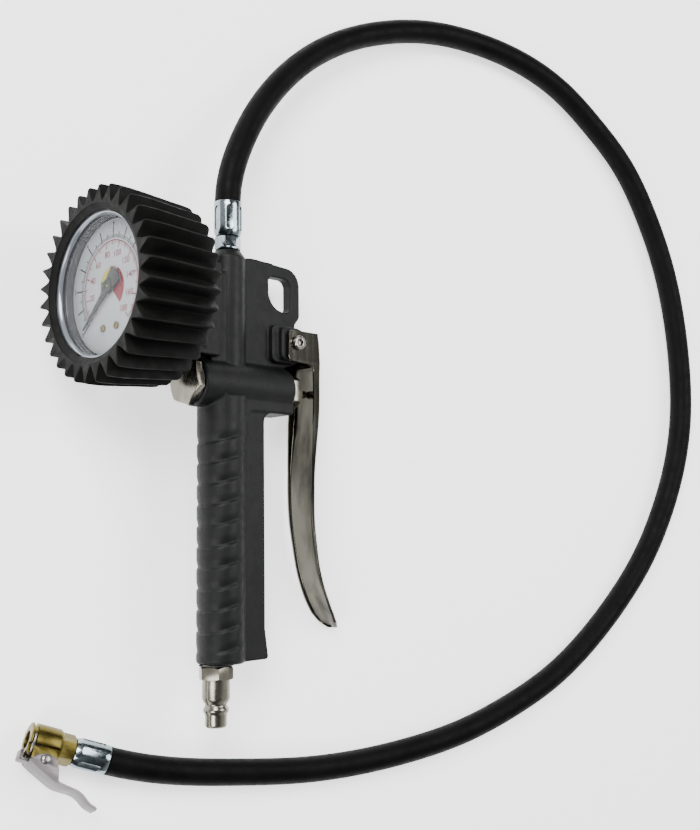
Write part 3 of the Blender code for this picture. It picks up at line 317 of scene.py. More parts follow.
def combine(base, steps, bevel=0.0, remesh=0.0, smooth=0, bevel_segments=3):
    """Applies booleans, then a bevel or a remesh, to a mesh; steps are (operation, mesh, matrix)."""
    scene = bpy.context.scene.collection
    piece = bpy.data.objects.new(base.name, base)
    scene.objects.link(piece)
    helpers = []
    for operation, mesh, place in steps:
        helper = bpy.data.objects.new("helper", mesh)
        helper.matrix_world = place
        scene.objects.link(helper)
        helper.hide_render = True
        helpers.append(helper)
        modifier = piece.modifiers.new("boolean", "BOOLEAN")
        modifier.operation, modifier.object, modifier.solver = operation, helper, "EXACT"
    if remesh:
        modifier = piece.modifiers.new("remesh", "REMESH")
        modifier.mode, modifier.voxel_size = "VOXEL", remesh * MM
        modifier = piece.modifiers.new("smooth", "SMOOTH")
        modifier.factor, modifier.iterations = 0.5, smooth
    if bevel:
        modifier = piece.modifiers.new("bevel", "BEVEL")
        modifier.width, modifier.segments = bevel * MM, bevel_segments
        modifier.limit_method, modifier.angle_limit = "ANGLE", math.radians(30)
        modifier.harden_normals = False
    bpy.context.view_layer.update()
    result = bpy.data.meshes.new_from_object(piece.evaluated_get(bpy.context.evaluated_depsgraph_get()))
    for helper in helpers + [piece]:
        bpy.data.objects.remove(helper, do_unlink=True)
    return result


UNION, CUT, KEEP = "UNION", "DIFFERENCE", "INTERSECT"
HERE = Matrix.Identity(4)


def at(x=0, y=0, z=0, turn=HERE):
    return placed((x, y, z), turn)


def show(name, mesh, place, look, body, node=None, smooth=32):
    piece = to_object(name, mesh, place, look, smooth)
    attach(piece, body)
    if node:
        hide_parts(node)
    return piece


# ================================================================ hose
def smooth_curve(points, count, start, end):
    """Evenly spaced points on the cubic spline through points, with the given end tangents."""
    knots = np.array(points, float)
    gaps = np.linalg.norm(np.diff(knots, axis=0), axis=1)
    size = len(knots)
    system, right = np.zeros((size, size)), np.zeros((size, 3))
    for i in range(1, size - 1):
        system[i, i - 1:i + 2] = (1 / gaps[i - 1], 2 / gaps[i - 1] + 2 / gaps[i], 1 / gaps[i])
        right[i] = 3 * ((knots[i] - knots[i - 1]) / gaps[i - 1] ** 2
                        + (knots[i + 1] - knots[i]) / gaps[i] ** 2)
    for row, tangent in ((0, start), (size - 1, end)):
        system[row, row] = 1
        right[row] = tangent
    slopes = np.linalg.solve(system, right)
    dense = [knots[0]]
    for i in range(size - 1):
        for t in np.linspace(0, 1, 21)[1:]:
            dense.append((2 * t ** 3 - 3 * t ** 2 + 1) * knots[i]
                         + (t ** 3 - 2 * t ** 2 + t) * gaps[i] * slopes[i]
                         + (3 * t ** 2 - 2 * t ** 3) * knots[i + 1]
                         + (t ** 3 - t ** 2) * gaps[i] * slopes[i + 1])
    dense = np.array(dense)
    along = np.r_[0, np.cumsum(np.linalg.norm(np.diff(dense, axis=0), axis=1))]
    wanted = np.linspace(0, along[-1], count)
    return [Vector([np.interp(w, along, dense[:, k]) for k in range(3)]) for w in wanted]


def make_hose():
    heading = Vector((math.cos(CHUCK_HEADING), math.sin(CHUCK_HEADING), 0))
    leaving = Vector((0, 1, 0))
    points = smooth_curve(HOSE_ROUTE, 240, leaving, heading)
    points = [points[0], points[0] + leaving * 1.5] + points[1:-1] + [points[-1] - heading * 1.5, points[-1]]
    curve = bpy.data.curves.new("hose", "CURVE")
    curve.dimensions = "3D"
    curve.bevel_depth = HOSE_D / 2 * MM
    curve.bevel_resolution = 10
    curve.use_fill_caps = True
    spline = curve.splines.new("POLY")
    spline.points.add(len(points) - 1)
    for slot, point in zip(spline.points, points):
        slot.co = (*(point * MM), 1)
    spline.use_smooth = True
    hose = bpy.data.objects.new("hose", curve)
    bpy.context.scene.collection.objects.link(hose)
    curve.materials.append(LOOKS["hose"])
    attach(hose, "gun")
    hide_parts("air_hose")


# ================================================================ gun casting
def palm_loft(around=96, rows_per_groove=20):
    """The oval palm side of the grip with its slanting finger grooves, which fade towards the front plate."""
    grooves, pitch, depth, centre, half_x, half_y = 11, 9.95, 0.9, 2.8, 11.5, 12.0
    top, low = -20.0, GRIP_LOW
    bottom = top - grooves * pitch
    heights = [-6.0] + list(np.linspace(top, bottom, grooves * rows_per_groove + 1))
    heights += [low + 3, low + 1.2, low]
    rings = []
    for z in heights:
        ring = []
        for k in range(around):
            angle = math.tau * k / around
            phase = (z - top - 0.28 * half_x * (1 + math.cos(angle))) / pitch
            wave = phase - math.floor(phase)
            dip = wave / 0.06 if wave < 0.06 else max(0.0, 1 - (wave - 0.06) / 0.42) ** 1.5
            inside = min(1, max(0, (top - z) / 3)) * min(1, max(0, (z - bottom) / 3))
            fade = min(1, max(0, (0.42 - math.cos(angle)) / 0.5))
            shrink = depth * dip * inside * fade + (1.0 if z == low else 0)      # the foot's edge is eased
            ring.append((centre + (half_x - shrink) * math.cos(angle),
                         (half_y - shrink) * math.sin(angle), z))
        rings.append(ring)
    return loft("gun_body", rings)


def xz_plate(outline, half_y):
    """A plate in the gun's xz plane, centred on y = 0."""
    mesh = prism("plate", outline, -half_y, half_y)
    mesh.transform(ACROSS_Y)
    return mesh


def drill(profile, steps=48):
    return spin("drill", profile, steps)


def make_gun_body():
    front = rounded([(0, GRIP_LOW + 0.4), (25.6, GRIP_LOW + 1.0), (23.4, -118), (23.1, -30),
                     (23.1, -12.9), (42.0, -12.6), (42.0, -4), (0, -4)], [0, 1.5, 20, 20, 5, 0, 0, 0], 8)
    arch = rounded([(0, -2), (41.6, -2), (41.6, -12.2), (10.8, -12.6), (10.8, -26), (0, -26)],
                   [0, 0, 0, 5.5, 0, 0], 10)
    web = rounded([(6.9, 5), (6.9, 63.3), (19, 65.6), (33, 65.4), (35, 64.8), (52.2, 64.2), (52.2, 39),
                   (49.0, 35.5), (48.5, 14), (42.0, 12.2), (41.5, 5)], [0, 3, 3, 2, 2, 9, 4, 2, 3, 0, 0])
    step = rounded([(30.6, 14), (49.0, 14), (49.0, 33), (30.6, 33)], [3, 3, 3, 3])
    ears = rounded([(34.2, 15.2), (49.3, 15.2), (49.3, 32), (34.2, 32)], [3, 4, 4, 3])
    block = rounded([(-22, 12.3), (-4.5, 12.3), (-4.5, 58), (-22, 58)], [1.5] * 4)
    eye = rounded([(31.1, 58.4), (46.0, 58.6), (46.0, 41.0), (31.1, 41.0)], [3, 4, 3, 10], 10)
    barrel = [(0, 42.3), (10.8, 42.3), (11.8, 41.3), (11.8, -13.9), (10.8, -14.9), (0, -14.9)]
    port = [(0, 67.3), (6.2, 67.3), (8.7, 63.7), (8.7, 2), (0, 2)]
    steps = [
        (UNION, xz_plate(front, 8.6), HERE), (UNION, xz_plate(arch, 9.5), HERE),
        (UNION, drill(barrel, 96), ALONG_X), (UNION, drill(port, 96), at(PORT_X)),
        (UNION, xz_plate(web, 3.0), HERE), (UNION, xz_plate(step, 6.4), HERE),
        (UNION, xz_plate(ears, 9.6), HERE),
        (UNION, xz_plate(block, 9.5), HERE),
        (UNION, xz_plate([(-8, 5), (6, 5), (6, 55), (-8, 55)], 6.2), HERE),
        (CUT, xz_plate(eye, 8), HERE),
        (CUT, drill([(0, 45.3), (7, 45.3), (7, 28), (4, 28), (4, 4.6), (3.5, 4.6), (3.5, 3), (7.5, 3),
                     (7.5, -18), (0, -18)]), ALONG_X),
        (CUT, drill([(0, -4), (3.5, -4), (3.5, -118.5), (6.6, -118.5), (6.6, -136), (0, -136)]), HERE),
        (CUT, drill([(0, 69), (4.9, 69), (4.9, 55), (2.5, 55), (2.5, 2), (0, 2)]), at(PORT_X)),
        (CUT, drill([(0, 6.2), (1.6, 6.2), (1.6, -12), (6.5, -12), (6.5, -25), (0, -25)]),
         at(0, 0, GAUGE_Z, ALONG_X)),
        (CUT, drill([(0, 12), (2.7, 12), (2.7, -12), (0, -12)]), at(PIVOT[0], 0, PIVOT[1], ACROSS_Y)),
        (CUT, drill([(0, 12), (2.2, 12), (2.2, 9.2), (0, 8.9)], 32), at(-15.2, 0, 17.3, ACROSS_Y)),
    ]
    mesh = combine(palm_loft(), steps, remesh=0.42, smooth=5)
    show("casting", mesh, GUN, "cast", "gun", "gun_body", smooth=60)


# ================================================================ round and hexagonal fittings
def hex_mesh(name, across, low, high, turn=0.0, chamfer="both", steps=(), bevel=0.12):
    corner, flat = across / 2 / math.cos(math.pi / 6) + 0.05, across / 2 * 0.97
    drop = (corner - flat) * 0.55
    top = [(0, high + 0.02), (flat, high + 0.02), (corner, high - drop)]
    bottom = [(corner, low + drop), (flat, low - 0.02), (0, low - 0.02)]
    if chamfer == "low":
        top = [(0, high + 1), (corner, high + 1)]
    if chamfer == "high":
        bottom = [(corner, low - 1), (0, low - 1)]
    extra = [(KEEP, drill(top + bottom, 64), HERE)] + list(steps)
    return combine(prism(name, hexagon(across, turn), low, high), extra, bevel=bevel, bevel_segments=2)


def make_valve():
    cap = hex_mesh("valve_cap", 21, -20.1, -16.2, math.radians(-14), "low",
                   [(UNION, drill([(0, -9), (6.6, -9), (7.2, -9.6), (7.2, -17.2), (0, -17.2)]), HERE),
                    (CUT, drill([(0, -8), (5.5, -8), (5.5, -13), (0, -13)], 40), HERE)])
    show("cap_nut", cap, GUN @ ALONG_X, "nickel", "gun", "valve_cap")
    gland = hex_mesh("gland_nut", 18, 42.6, 48.6, 0.0, "high",
                     [(UNION, drill([(0, 43.8), (6.7, 43.8), (6.7, 33.5), (6.2, 33), (0, 33)]), HERE),
                      (CUT, drill([(0, 50), (2.3, 50), (2.3, 35.5), (4.7, 35.5), (4.7, 31), (0, 31)], 40),
                       HERE)])
    show("gland", gland, GUN @ ALONG_X, "nickel", "gun", "gland_nut")
    pin = spin("push_pin", [(0, 58.9), (0.9, 58.9), (1.6, 58.6), (2.0, 57.9), (2.0, 1.6), (1.5, 1.2),
                            (1.5, -1.1), (0, -1.1)], 40)
    show("push_pin", pin, GUN @ ALONG_X, "nickel", "push_valve", "valve_pin")
    # the coil sits between the cap and the poppet and closes up as the pin is pushed in; here it is drawn at
    # rest, on a mesh of its own
    first, last, turns, coil_r, wire_r = -12.15, -4.85, 6, 4.6, 0.55
    coil = wire_mesh([(first + (last - first) * a / (math.tau * turns), coil_r * math.sin(a),
                       coil_r * math.cos(a))
                      for a in np.linspace(0, math.tau * turns, 32 * turns)], wire_r, 12)
    spring = show("coil_spring", coil, GUN, "steel", "gun", "valve_spring", smooth=60)
    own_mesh(spring)
    show("gasket", spin("gasket", [(7.5, -15.2), (10.1, -15.2), (10.3, -15.4), (10.3, -15.7), (10.1, -15.9),
                                   (7.5, -15.9)], 72, True), GUN @ ALONG_X, "seal", "gun", "cap_gasket")


LEVER_STATIONS = [  # z, outer face of the web in x, half width, depth of the flanges, corner radius
    (30.5, 58.3, 11.5, 19.5, 1.6), (29.4, 58.4, 11.5, 20.8, 1.6), (27.5, 58.7, 11.5, 21.8, 1.6),
    (17.0, 59.5, 11.5, 22.7, 1.6), (15.4, 59.6, 11.5, 22.0, 1.6), (14.6, 59.7, 11.4, 20.0, 1.6),
    (14.2, 59.7, 11.3, 9.0, 1.6), (13.2, 59.8, 11.2, 6.2, 1.6), (11.0, 59.9, 10.9, 5.2, 1.6),
    (5.0, 60.2, 10.4, 4.8, 1.6), (-4.0, 60.5, 10.0, 4.8, 1.6),
    (-16.0, 59.8, 9.95, 4.8, 1.6), (-28.0, 58.4, 9.9, 3.6, 1.7), (-41.0, 57.2, 9.85, 2.6, 2.0),
    (-53.0, 56.9, 9.8, 2.4, 2.0), (-66.0, 57.4, 9.4, 2.4, 2.0), (-78.0, 59.2, 9.0, 2.4, 2.0),
    (-91.0, 61.9, 8.6, 2.6, 2.0), (-106.0, 67.8, 8.3, 2.8, 2.0), (-113.0, 71.8, 7.6, 2.8, 1.8),
    (-117.5, 75.4, 5.8, 2.8, 1.6), (-120.5, 78.6, 2.6, 2.8, 1.0)]


def lever_ring(x, z, half, depth, corner, slope, thick=1.4):
    """One level slice of the lever: a channel open towards the grip, its web slightly crowned."""
    web, crown = thick * math.sqrt(1 + slope * slope), 0.5
    turn = [k * math.pi / 12 for k in range(1, 6)]
    outer = [(-half, depth - 0.2), (-half, corner)]
    outer += [(-half + corner - corner * math.cos(a), corner - corner * math.sin(a)) for a in turn]
    spread = [-1, -0.75, -0.5, -0.25, 0, 0.25, 0.5, 0.75, 1]
    outer += [(s * (half - corner), -crown * (1 - s * s)) for s in spread]
    outer += [(-y, d) for y, d in outer[6::-1]]
    bend = max(corner - 0.9, 0.4)
    inner = [(half - thick, depth - 0.2), (half - thick, web + bend)]
    inner += [(half - thick - bend + bend * math.cos(a), web + bend - bend * math.sin(a)) for a in turn]
    inner += [(s * (half - thick - bend), web - crown * (1 - s * s)) for s in reversed(spread)]
    inner += [(-y, d) for y, d in inner[6::-1]]
    lip = [(half - 0.3, depth), (half - thick + 0.3, depth)]
    ring = outer + lip + inner + [(-y, d) for y, d in reversed(lip)]
    return [(x - d, y, z) for y, d in ring]


def make_lever():
    table = np.array(LEVER_STATIONS)[::-1]
    knots = table[:, 0]
    fine = sorted(set(np.round(np.r_[knots, np.linspace(-120.5, 12, 90), np.linspace(12, 30.5, 24)],
                               2)))[::-1]
    slopes = np.gradient(table[:, 1], knots)

    def read(column, z):
        """One column at height z: the web's outer face runs as a smooth curve, the rest straight."""
        values = table[:, column]
        i = min(max(int(np.searchsorted(knots, z)) - 1, 0), len(knots) - 2)
        gap = knots[i + 1] - knots[i]
        t = (z - knots[i]) / gap
        if column != 1:
            return values[i] + (values[i + 1] - values[i]) * t
        return ((2 * t ** 3 - 3 * t ** 2 + 1) * values[i] + (t ** 3 - 2 * t ** 2 + t) * gap * slopes[i]
                + (3 * t ** 2 - 2 * t ** 3) * values[i + 1] + (t ** 3 - t ** 2) * gap * slopes[i + 1])

    rings = []
    for z in fine:
        slope = (read(1, min(z + 0.5, 30.5)) - read(1, max(z - 0.5, -120.5)))
        depth = max(read(3, z), 1.4 * math.sqrt(1 + slope ** 2) + 0.9)
        rings.append(lever_ring(read(1, z), z, read(2, z), depth, read(4, z), slope))
    hole = drill([(0, 15), (2.65, 15), (2.65, -15), (0, -15)], 40)
    mesh = combine(loft("lever", rings), [(CUT, hole, at(PIVOT[0], 0, PIVOT[1], ACROSS_Y))])
    show("lever", mesh, GUN, "lever", "trigger", "trigger_lever", smooth=40)

    pivot = GUN @ at(PIVOT[0], 0, PIVOT[1], ACROSS_Y)
    head = [(0, 14.0), (2.9, 14.0), (3.35, 13.8), (3.6, 13.4), (3.6, 11.8), (2.35, 11.8), (2.35, -14.0),
            (0, -14.0)]
    socket = prism("socket", hexagon(3.4, 0.2), 12.2, 15)
    screw = combine(drill(head, 56), [(CUT, socket, HERE)], bevel=0.08, bevel_segments=2)
    show("lever_screw", screw, pivot, "steel", "gun", "pivot_screw")
    nut = hex_mesh("nut", 8.0, -14.2, -11.8, 0.1, "both",
                   [(CUT, drill([(0, -11), (2.65, -11), (2.65, -15), (0, -15)], 40), HERE)])
    show("lever_nut", nut, pivot, "steel", "gun", "pivot_nut")


# ================================================================ gauge
def make_boot():
    """A rubber cup with 32 narrow ribs whose flanks curve into the valleys between them."""
    ribs, per_rib = 32, 12
    # distance along the gauge axis, radius of the tips, radius of the valleys
    stations = [(-71.0, 44.0, 37.2), (-70.7, 44.6, 37.4), (-70.0, 45.1, 37.5), (-66, 45.2, 37.6),
                (-60, 45.1, 37.5), (-52, 44.5, 37.5), (-44, 43.9, 37.4), (-36, 43.4, 37.3),
                (-32.4, 43.0, 37.2), (-31.0, 42.2, 37.1),
                (-30.0, 41.0, 37.0)]
    rings = []
    for x, tip, root in stations:
        ring = []
        for k in range(ribs * per_rib):
            share = (k % per_rib) / per_rib
            climb = share / 0.55 if share < 0.55 else (1 - share) / 0.45
            radius = root + (tip - root) * min(1.0, climb * 1.1) ** 1.6
            angle = math.tau * k / (ribs * per_rib)
            ring.append((radius * math.cos(angle), radius * math.sin(angle), x))
        rings.append(ring)
    inside = [(0, -28), (14, -28), (14, -32.5), (35.3, -32.5), (35.3, -68.6), (33.4, -68.6), (33.4, -69.0),
              (33.6, -69.3), (34.2, -69.5), (36.4, -70.7), (36.8, -73), (0, -73)]
    mesh = combine(loft("boot", rings), [(CUT, drill(inside, 160), HERE)])
    show("boot", mesh, GAUGE, "rubber", "gun", "gauge_boot", smooth=38)


def ribbon(name, pieces, height, look):
    """Flat printed marks on the dial: each piece is a list of (radius, angle) corners."""
    verts, faces = [], []
    for piece in pieces:
        faces.append(tuple(range(len(verts), len(verts) + len(piece))))
        verts += [(r * math.cos(a), r * math.sin(a), height) for r, a in piece]
    mesh = bpy.data.meshes.new(name)
    mesh.from_pydata([tuple(Vector(v) * MM) for v in verts], [], faces)
    show(name, mesh, GAUGE, look, "gun")


def make_dial():
    plate = spin("dial_face", [(1.2, -60.4), (31.1, -60.4), (31.3, -60.5), (31.3, -60.9), (31.1, -61.0),
                               (1.2, -61.0)],
                 128, True)
    show("dial_face", plate, GAUGE, "dial", "gun", "dial_plate")
    start, sweep = POINTER_ANGLE, math.radians(270)

    # the pointer turns about the gun's +x, so the scale runs the same way round
    def scale(share):
        return start + sweep * share

    def tick(share, low, high, width):
        half = width / 2
        a = scale(share)
        return [(low, a - half / low), (high, a - half / high), (high, a + half / high),
                (low, a + half / low)]

    def arc(inner, outer, first, last, steps):
        grid = np.linspace(first, last, steps)
        return [[(inner, scale(a)), (outer, scale(a)), (outer, scale(b)), (inner, scale(b))]
                for a, b in zip(grid, grid[1:])]

    black = [tick(k / 12, 22.3, 28.2, 0.75) for k in range(13)]
    black += [tick(k / 24, 22.3, 25.2, 0.6) for k in range(25)]
    black += [tick(k / 120, 22.3, 24.0, 0.42) for k in range(121)]
    ribbon("dial_black", black, INK_X, "ink_black")
    red = arc(21.1, 21.6, 0, 1, 91)
    red += [tick(k / 18, 18.2 if k % 2 == 0 else 19.3, 21.3, 0.6) for k in range(19)]
    red += [tick(k / 90, 20.0, 21.3, 0.3) for k in range(91)]
    ribbon("dial_red", red, INK_X, "ink_red")

    def sector(first, last, steps=16):
        grid = np.linspace(first, last, steps)
        return [[(2.6, scale(a)), (7.4 + 3.8 * a, scale(a)), (7.4 + 3.8 * b, scale(b)), (2.6, scale(b))]
                for a, b in zip(grid, grid[1:])]
    ribbon("dial_green", sector(0.0, 0.25), INK_X, "ink_green")
    ribbon("dial_yellow", sector(0.25, 0.47), INK_X, "ink_yellow")
    ribbon("dial_orange", sector(0.47, 0.58), INK_X, "ink_orange")
    ribbon("dial_crimson", sector(0.60, 1.0, 24), INK_X, "ink_red")

    for value in range(0, 13, 2):
        numeral(str(value), scale(value / 12), 29.4, 2.1, "ink_black")
    for value in range(0, 181, 20):
        numeral(str(value), scale(value / 180), 15.4, 3.0, "ink_red")


def numeral(text, angle, radius, size, look):
    """A number printed upright on the dial, centred at the given angle and radius."""
    font = bpy.data.curves.new("numeral", "FONT")
    font.body, font.size, font.align_x, font.align_y = text, size * 1.35 * MM, "CENTER", "CENTER"
    font.offset = size * 0.02 * MM
    helper = bpy.data.objects.new("numeral", font)
    bpy.context.scene.collection.objects.link(helper)
    bpy.context.view_layer.update()
    mesh = bpy.data.meshes.new_from_object(helper.evaluated_get(bpy.context.evaluated_depsgraph_get()))
    bpy.data.objects.remove(helper, do_unlink=True)
    # dial coordinates: down is +x, the reader's left is +y and the reader looks along +z
    upright = Matrix(((0, -1, 0, radius * math.cos(angle) * MM), (-1, 0, 0, radius * math.sin(angle) * MM),
                      (0, 0, -1, INK_X * MM), (0, 0, 0, 1)))
    mesh.transform(upright)
    show(f"number_{look}_{text}", mesh, GAUGE, look, "gun")


def make_gauge():
    show("case", spin("case", [(5.6, -32.8), (34, -32.8), (35, -33.8), (35, -66.2), (33.6, -66.2),
                               (33.6, -34.8),
                               (33.0, -34.2), (5.6, -34.2)], 128, True), GAUGE, "channel", "gun",
                               "gauge_case")
    rim = [(31.8, -66.5), (35.0, -66.5), (35.0, -68.0), (34.9, -68.25), (34.7, -68.35), (34.45, -68.3),
           (34.3, -68.1), (34.2, -67.4), (33.5, -67.2), (33.3, -67.9), (33.1, -68.1), (32.8, -68.1),
           (32.5, -67.8), (31.9, -66.9)]
    show("rim", spin("rim", rim, 128, True), GAUGE, "rim", "gun", "gauge_bezel", smooth=50)
    lens = [(0, -64.8), (33.2, -64.8), (33.3, -64.9), (33.3, -66.1), (33.1, -66.2)]
    lens += [(r, -66.9 + 0.7 * (r / 33.1) ** 2) for r in (28, 22, 16, 10, 5, 0)]
    show("lens", spin("lens", lens, 128), GAUGE, "lens", "gun", "gauge_lens", smooth=50)
    ring = [(31.9, -61.4), (33.3, -61.4), (33.3, -64.4), (33.1, -64.5), (32.3, -64.5), (31.9, -64.1)]
    show("inner_ring", spin("inner_ring", ring, 128, True), GAUGE, "channel", "gun", "lens_gasket", smooth=50)
    make_dial()

    turn = Matrix.Rotation(POINTER_ANGLE, 4, "Z")
    blade = [(2.6, -2.0), (9, -1.35), (24.6, -0.6), (26.6, -0.15), (26.6, 0.15), (24.6, 0.6), (9, 1.35),
             (2.6, 2.0), (-1.5, 3.6)]
    fan = [(-9.2 * math.cos(a), 9.2 * math.sin(a)) for a in np.radians(np.linspace(32, -32, 13))]
    outline = blade + fan + [(-1.5, -3.6)]
    hub = drill([(0, -61.6), (2.4, -61.6), (3.6, -62.2), (3.6, -63.0), (3.3, -63.3), (2.8, -63.4),
                 (0, -63.4)], 48)
    mesh = combine(prism("pointer", outline, -62.8, -62.3), [(UNION, hub, HERE),
                   (CUT, drill([(0, -61), (1.1, -61), (1.1, -64), (0, -64)], 24), HERE)], bevel=0.06,
                   bevel_segments=2)
    show("needle", mesh, GAUGE @ turn, "pointer", "pointer", "pointer")
    for side, name in ((-1, "dial_screw_left"), (1, "dial_screw_right")):
        spot = GUN @ at(0, side * 5.3, GAUGE_Z - 18.6, ALONG_X)
        head = drill([(0, -56.2), (0.6, -56.2), (0.6, -61.3), (1.7, -61.3), (1.7, -61.7), (1.45, -61.95),
                      (0.9, -62.05), (0, -62.05)], 36)
        slot = prism("slot", [(-2, -0.25), (2, -0.25), (2, 0.25), (-2, 0.25)], -63, -61.7)
        show(name + "_fine", combine(head, [(CUT, slot, HERE)]), spot, "brass", "gun", name)

    socket = hex_mesh("socket", 17.0, -31.0, -23.3, 0.0, "low", [
        (UNION, drill([(0, -12.3), (5.4, -12.3), (6.2, -13.1), (6.2, -24), (0, -24)]), HERE),
        (UNION, drill([(0, -30), (5.2, -30), (5.2, -42), (0, -42)]), HERE),
        (UNION, prism("block", [(-5, -6), (28.5, -6), (28.5, 7.5), (-5, 7.5)], -48.8, -40), HERE),
        (CUT, drill([(0, -11), (1.5, -11), (1.5, -44), (0, -44)], 32), HERE)])
    show("socket", socket, GAUGE, "brass", "gun", "gauge_socket")


# ================================================================ air fittings
def make_plug():
    body = [(0, -134.9), (6.62, -134.9), (6.62, -148.6), (6.55, -149.3), (6.2, -150.2), (5.7, -151.0),
            (5.3, -151.6), (5.2, -152.0),
            (5.2, -152.4), (5.4, -152.9), (5.95, -153.7), (6.05, -154.1), (6.05, -154.8), (5.9, -155.3),
            (5.35, -156.2), (5.2, -156.8), (5.15, -161.2), (4.95, -161.9), (4.5, -162.4), (4.0, -162.6),
            (0, -162.6)]
    thread = [(0, -119.6), (5.6, -119.6), (6.3, -120.4), (6.3, -136), (0, -136)]
    bore = [(0, -118), (2.75, -118), (2.75, -162.2), (3.0, -162.7), (3.0, -164), (0, -164)]
    mesh = hex_mesh("plug", 15.0, -140.6, -134.4, 0.0, "both",
                    [(UNION, drill(thread), HERE), (UNION, drill(body, 96), HERE),
                     (CUT, drill(bore), HERE)], 0.08)
    show("air_plug", mesh, GUN, "nickel", "gun", "inlet_plug")
    show("plug_washer", spin("plug_washer", [(6.6, -133.7), (8.2, -133.7), (8.2, -134.1), (6.6, -134.1)],
                             64, True),
         GUN, "seal", "gun", "plug_seal")


def barb(low, high, radius=3.6):
    profile, z = [(0, high), (radius - 0.9, high)], high
    while z - 3.4 > low + 1:
        profile += [(radius, z - 2.2), (radius, z - 2.8), (radius - 0.6, z - 3.0)]
        z -= 3.4
    return profile + [(radius - 0.6, low), (0, low)]


def ferrule(name, low, high, taper):
    """A plated sleeve with six oval crimps pressed into it."""
    profile = [(3.9, high), (taper[1] - 0.4, high), (taper[1] - 0.1, high - 0.15), (taper[1], high - 0.4),
               (6.9, high - 2.5), (6.9, low + 2.5), (taper[0], low + 0.4), (taper[0] - 0.1, low + 0.15),
               (taper[0] - 0.4, low), (3.9, low)]
    middle, reach = (low + high) / 2, (high - low) / 2 - 2.6
    outline = rounded([(-1.9, middle - reach), (1.9, middle - reach), (1.9, middle + reach),
                       (-1.9, middle + reach)],
                      1.85, 8)
    steps = []
    for number in range(6):
        slab = prism("crimp", outline, 6.2, 9)
        spot = Matrix.Rotation(math.tau * (number + 0.5) / 6, 4, "Z") @ Matrix.Rotation(math.pi / 2, 4, "X")
        steps.append((CUT, slab, spot))
    return combine(spin(name, profile, 120, True), steps, bevel=0.28, bevel_segments=3)


def make_fittings():
    steps = [(UNION, drill([(0, 69.0), (6.1, 69.0), (6.35, 68.8), (6.4, 68.3), (6.35, 67.8), (6.1, 67.6),
                            (0, 67.6)]),
              HERE),
             (UNION, drill([(0, 68.2), (4.6, 68.2), (4.6, 57.0), (4.1, 56.4), (0, 56.4)]), HERE),
             (UNION, drill(barb(73.5, 91.4)), HERE),
             (CUT, drill([(0, 93), (1.8, 93), (1.8, 55), (0, 55)], 32), HERE)]
    show("port_nut", hex_mesh("port_nut", 11.7, 67.6, 74.3, 0.69, "both", steps), GUN @ at(PORT_X), "zinc",
         "gun",
         "hose_nut")
    sleeve = show("top_sleeve", ferrule("top_sleeve", 74.6, 92.2, (6.2, 6.9)), GUN @ at(PORT_X), "zinc",
                  "gun",
                  "top_ferrule", smooth=50)
    return [sleeve]


# ================================================================ tyre chuck
def make_chuck():
    along = CHUCK @ ALONG_X
    pieces = [show("chuck_sleeve", ferrule("chuck_sleeve", 0.3, 17.0, (6.9, 6.2)), along, "zinc", "gun",
                   "chuck_ferrule", smooth=50)]
    tail = [(0, 18.0), (3.0, 18.0), (3.0, 13.0), (3.6, 12.6), (3.0, 9.4), (3.6, 9.0), (3.0, 5.6),
            (3.6, 5.2), (2.7, 1.5), (0, 1.5)]
    head = [(0, 39.0), (7.3, 39.0), (7.8, 38.8), (8.1, 38.4), (8.25, 37.9), (8.25, 25.6), (8.1, 25.0),
            (7.3, 23.7), (0, 23.6)]
    lug = rounded([(25.2, 2), (25.2, 10.2), (31.2, 10.4), (38.6, 7.3), (38.6, 2)], [0, 1.5, 1.5, 0.6, 0], 6)
    back = ALONG_X.inverted()     # the body is drawn along z, its plates in the chuck's x and y
    steps = [(UNION, drill(tail), HERE), (UNION, drill(head, 128), HERE)]
    for side in (-1, 1):
        low, high = sorted((side * 5.2, side * 12))
        steps.append((CUT, prism("flat", [(24.4, 2.3), (42, 2.3), (42, 12), (24.4, 12)], low, high), back))
    steps += [(UNION, prism("lug", lug, -5.2, 5.2), back),
              (CUT, drill([(0, 41), (4.2, 41), (4.2, 36), (5.9, 36), (5.9, 33), (4.2, 33), (4.2, 26.5),
                           (1.8, 26.5), (1.8, 0), (0, 0)]), HERE),
              (CUT, spin("groove", [(6.9, 38.2), (14, 38.2), (14, 36.2), (6.9, 36.2)], 96, True), HERE),
              (CUT, drill([(0, 9), (1.8, 9), (1.8, -9), (0, -9)], 32), back @ at(*CHUCK_RIVET))]
    body = hex_mesh("chuck", 12.5, 17.3, 24.5, 0.3, "low", steps, 0.14)
    pieces.append(show("chuck_brass", body, along, "brass", "gun", "chuck_body"))

    arc = np.linspace(math.radians(-12), math.radians(192), 60)
    wire = wire_mesh([(37.2, 7.75 * math.sin(a), 7.75 * math.cos(a)) for a in arc], 0.6)
    pieces.append(show("clip_wire", wire, CHUCK, "steel", "gun", "chuck_spring_wire", smooth=60))
    gasket = [(2.6, 35.7), (5.6, 35.7), (5.6, 33.3), (2.6, 33.3)]
    pieces.append(show("mouth_gasket", spin("mouth_gasket", gasket, 64, True), along, "seal", "gun",
                       "chuck_gasket"))
    pieces.append(make_chuck_lever())
    rivet = [(0, 7.9), (1.2, 7.85), (1.9, 7.65), (2.3, 7.3), (2.3, 7.0), (1.5, 7.0), (1.5, -7.0), (2.3, -7.0),
             (2.3, -7.3), (1.9, -7.65), (1.2, -7.85), (0, -7.9)]
    pieces.append(show("clip_rivet", spin("clip_rivet", rivet, 48), CHUCK @ at(*CHUCK_RIVET), "steel", "gun",
                       "chuck_rivet"))
    return pieces


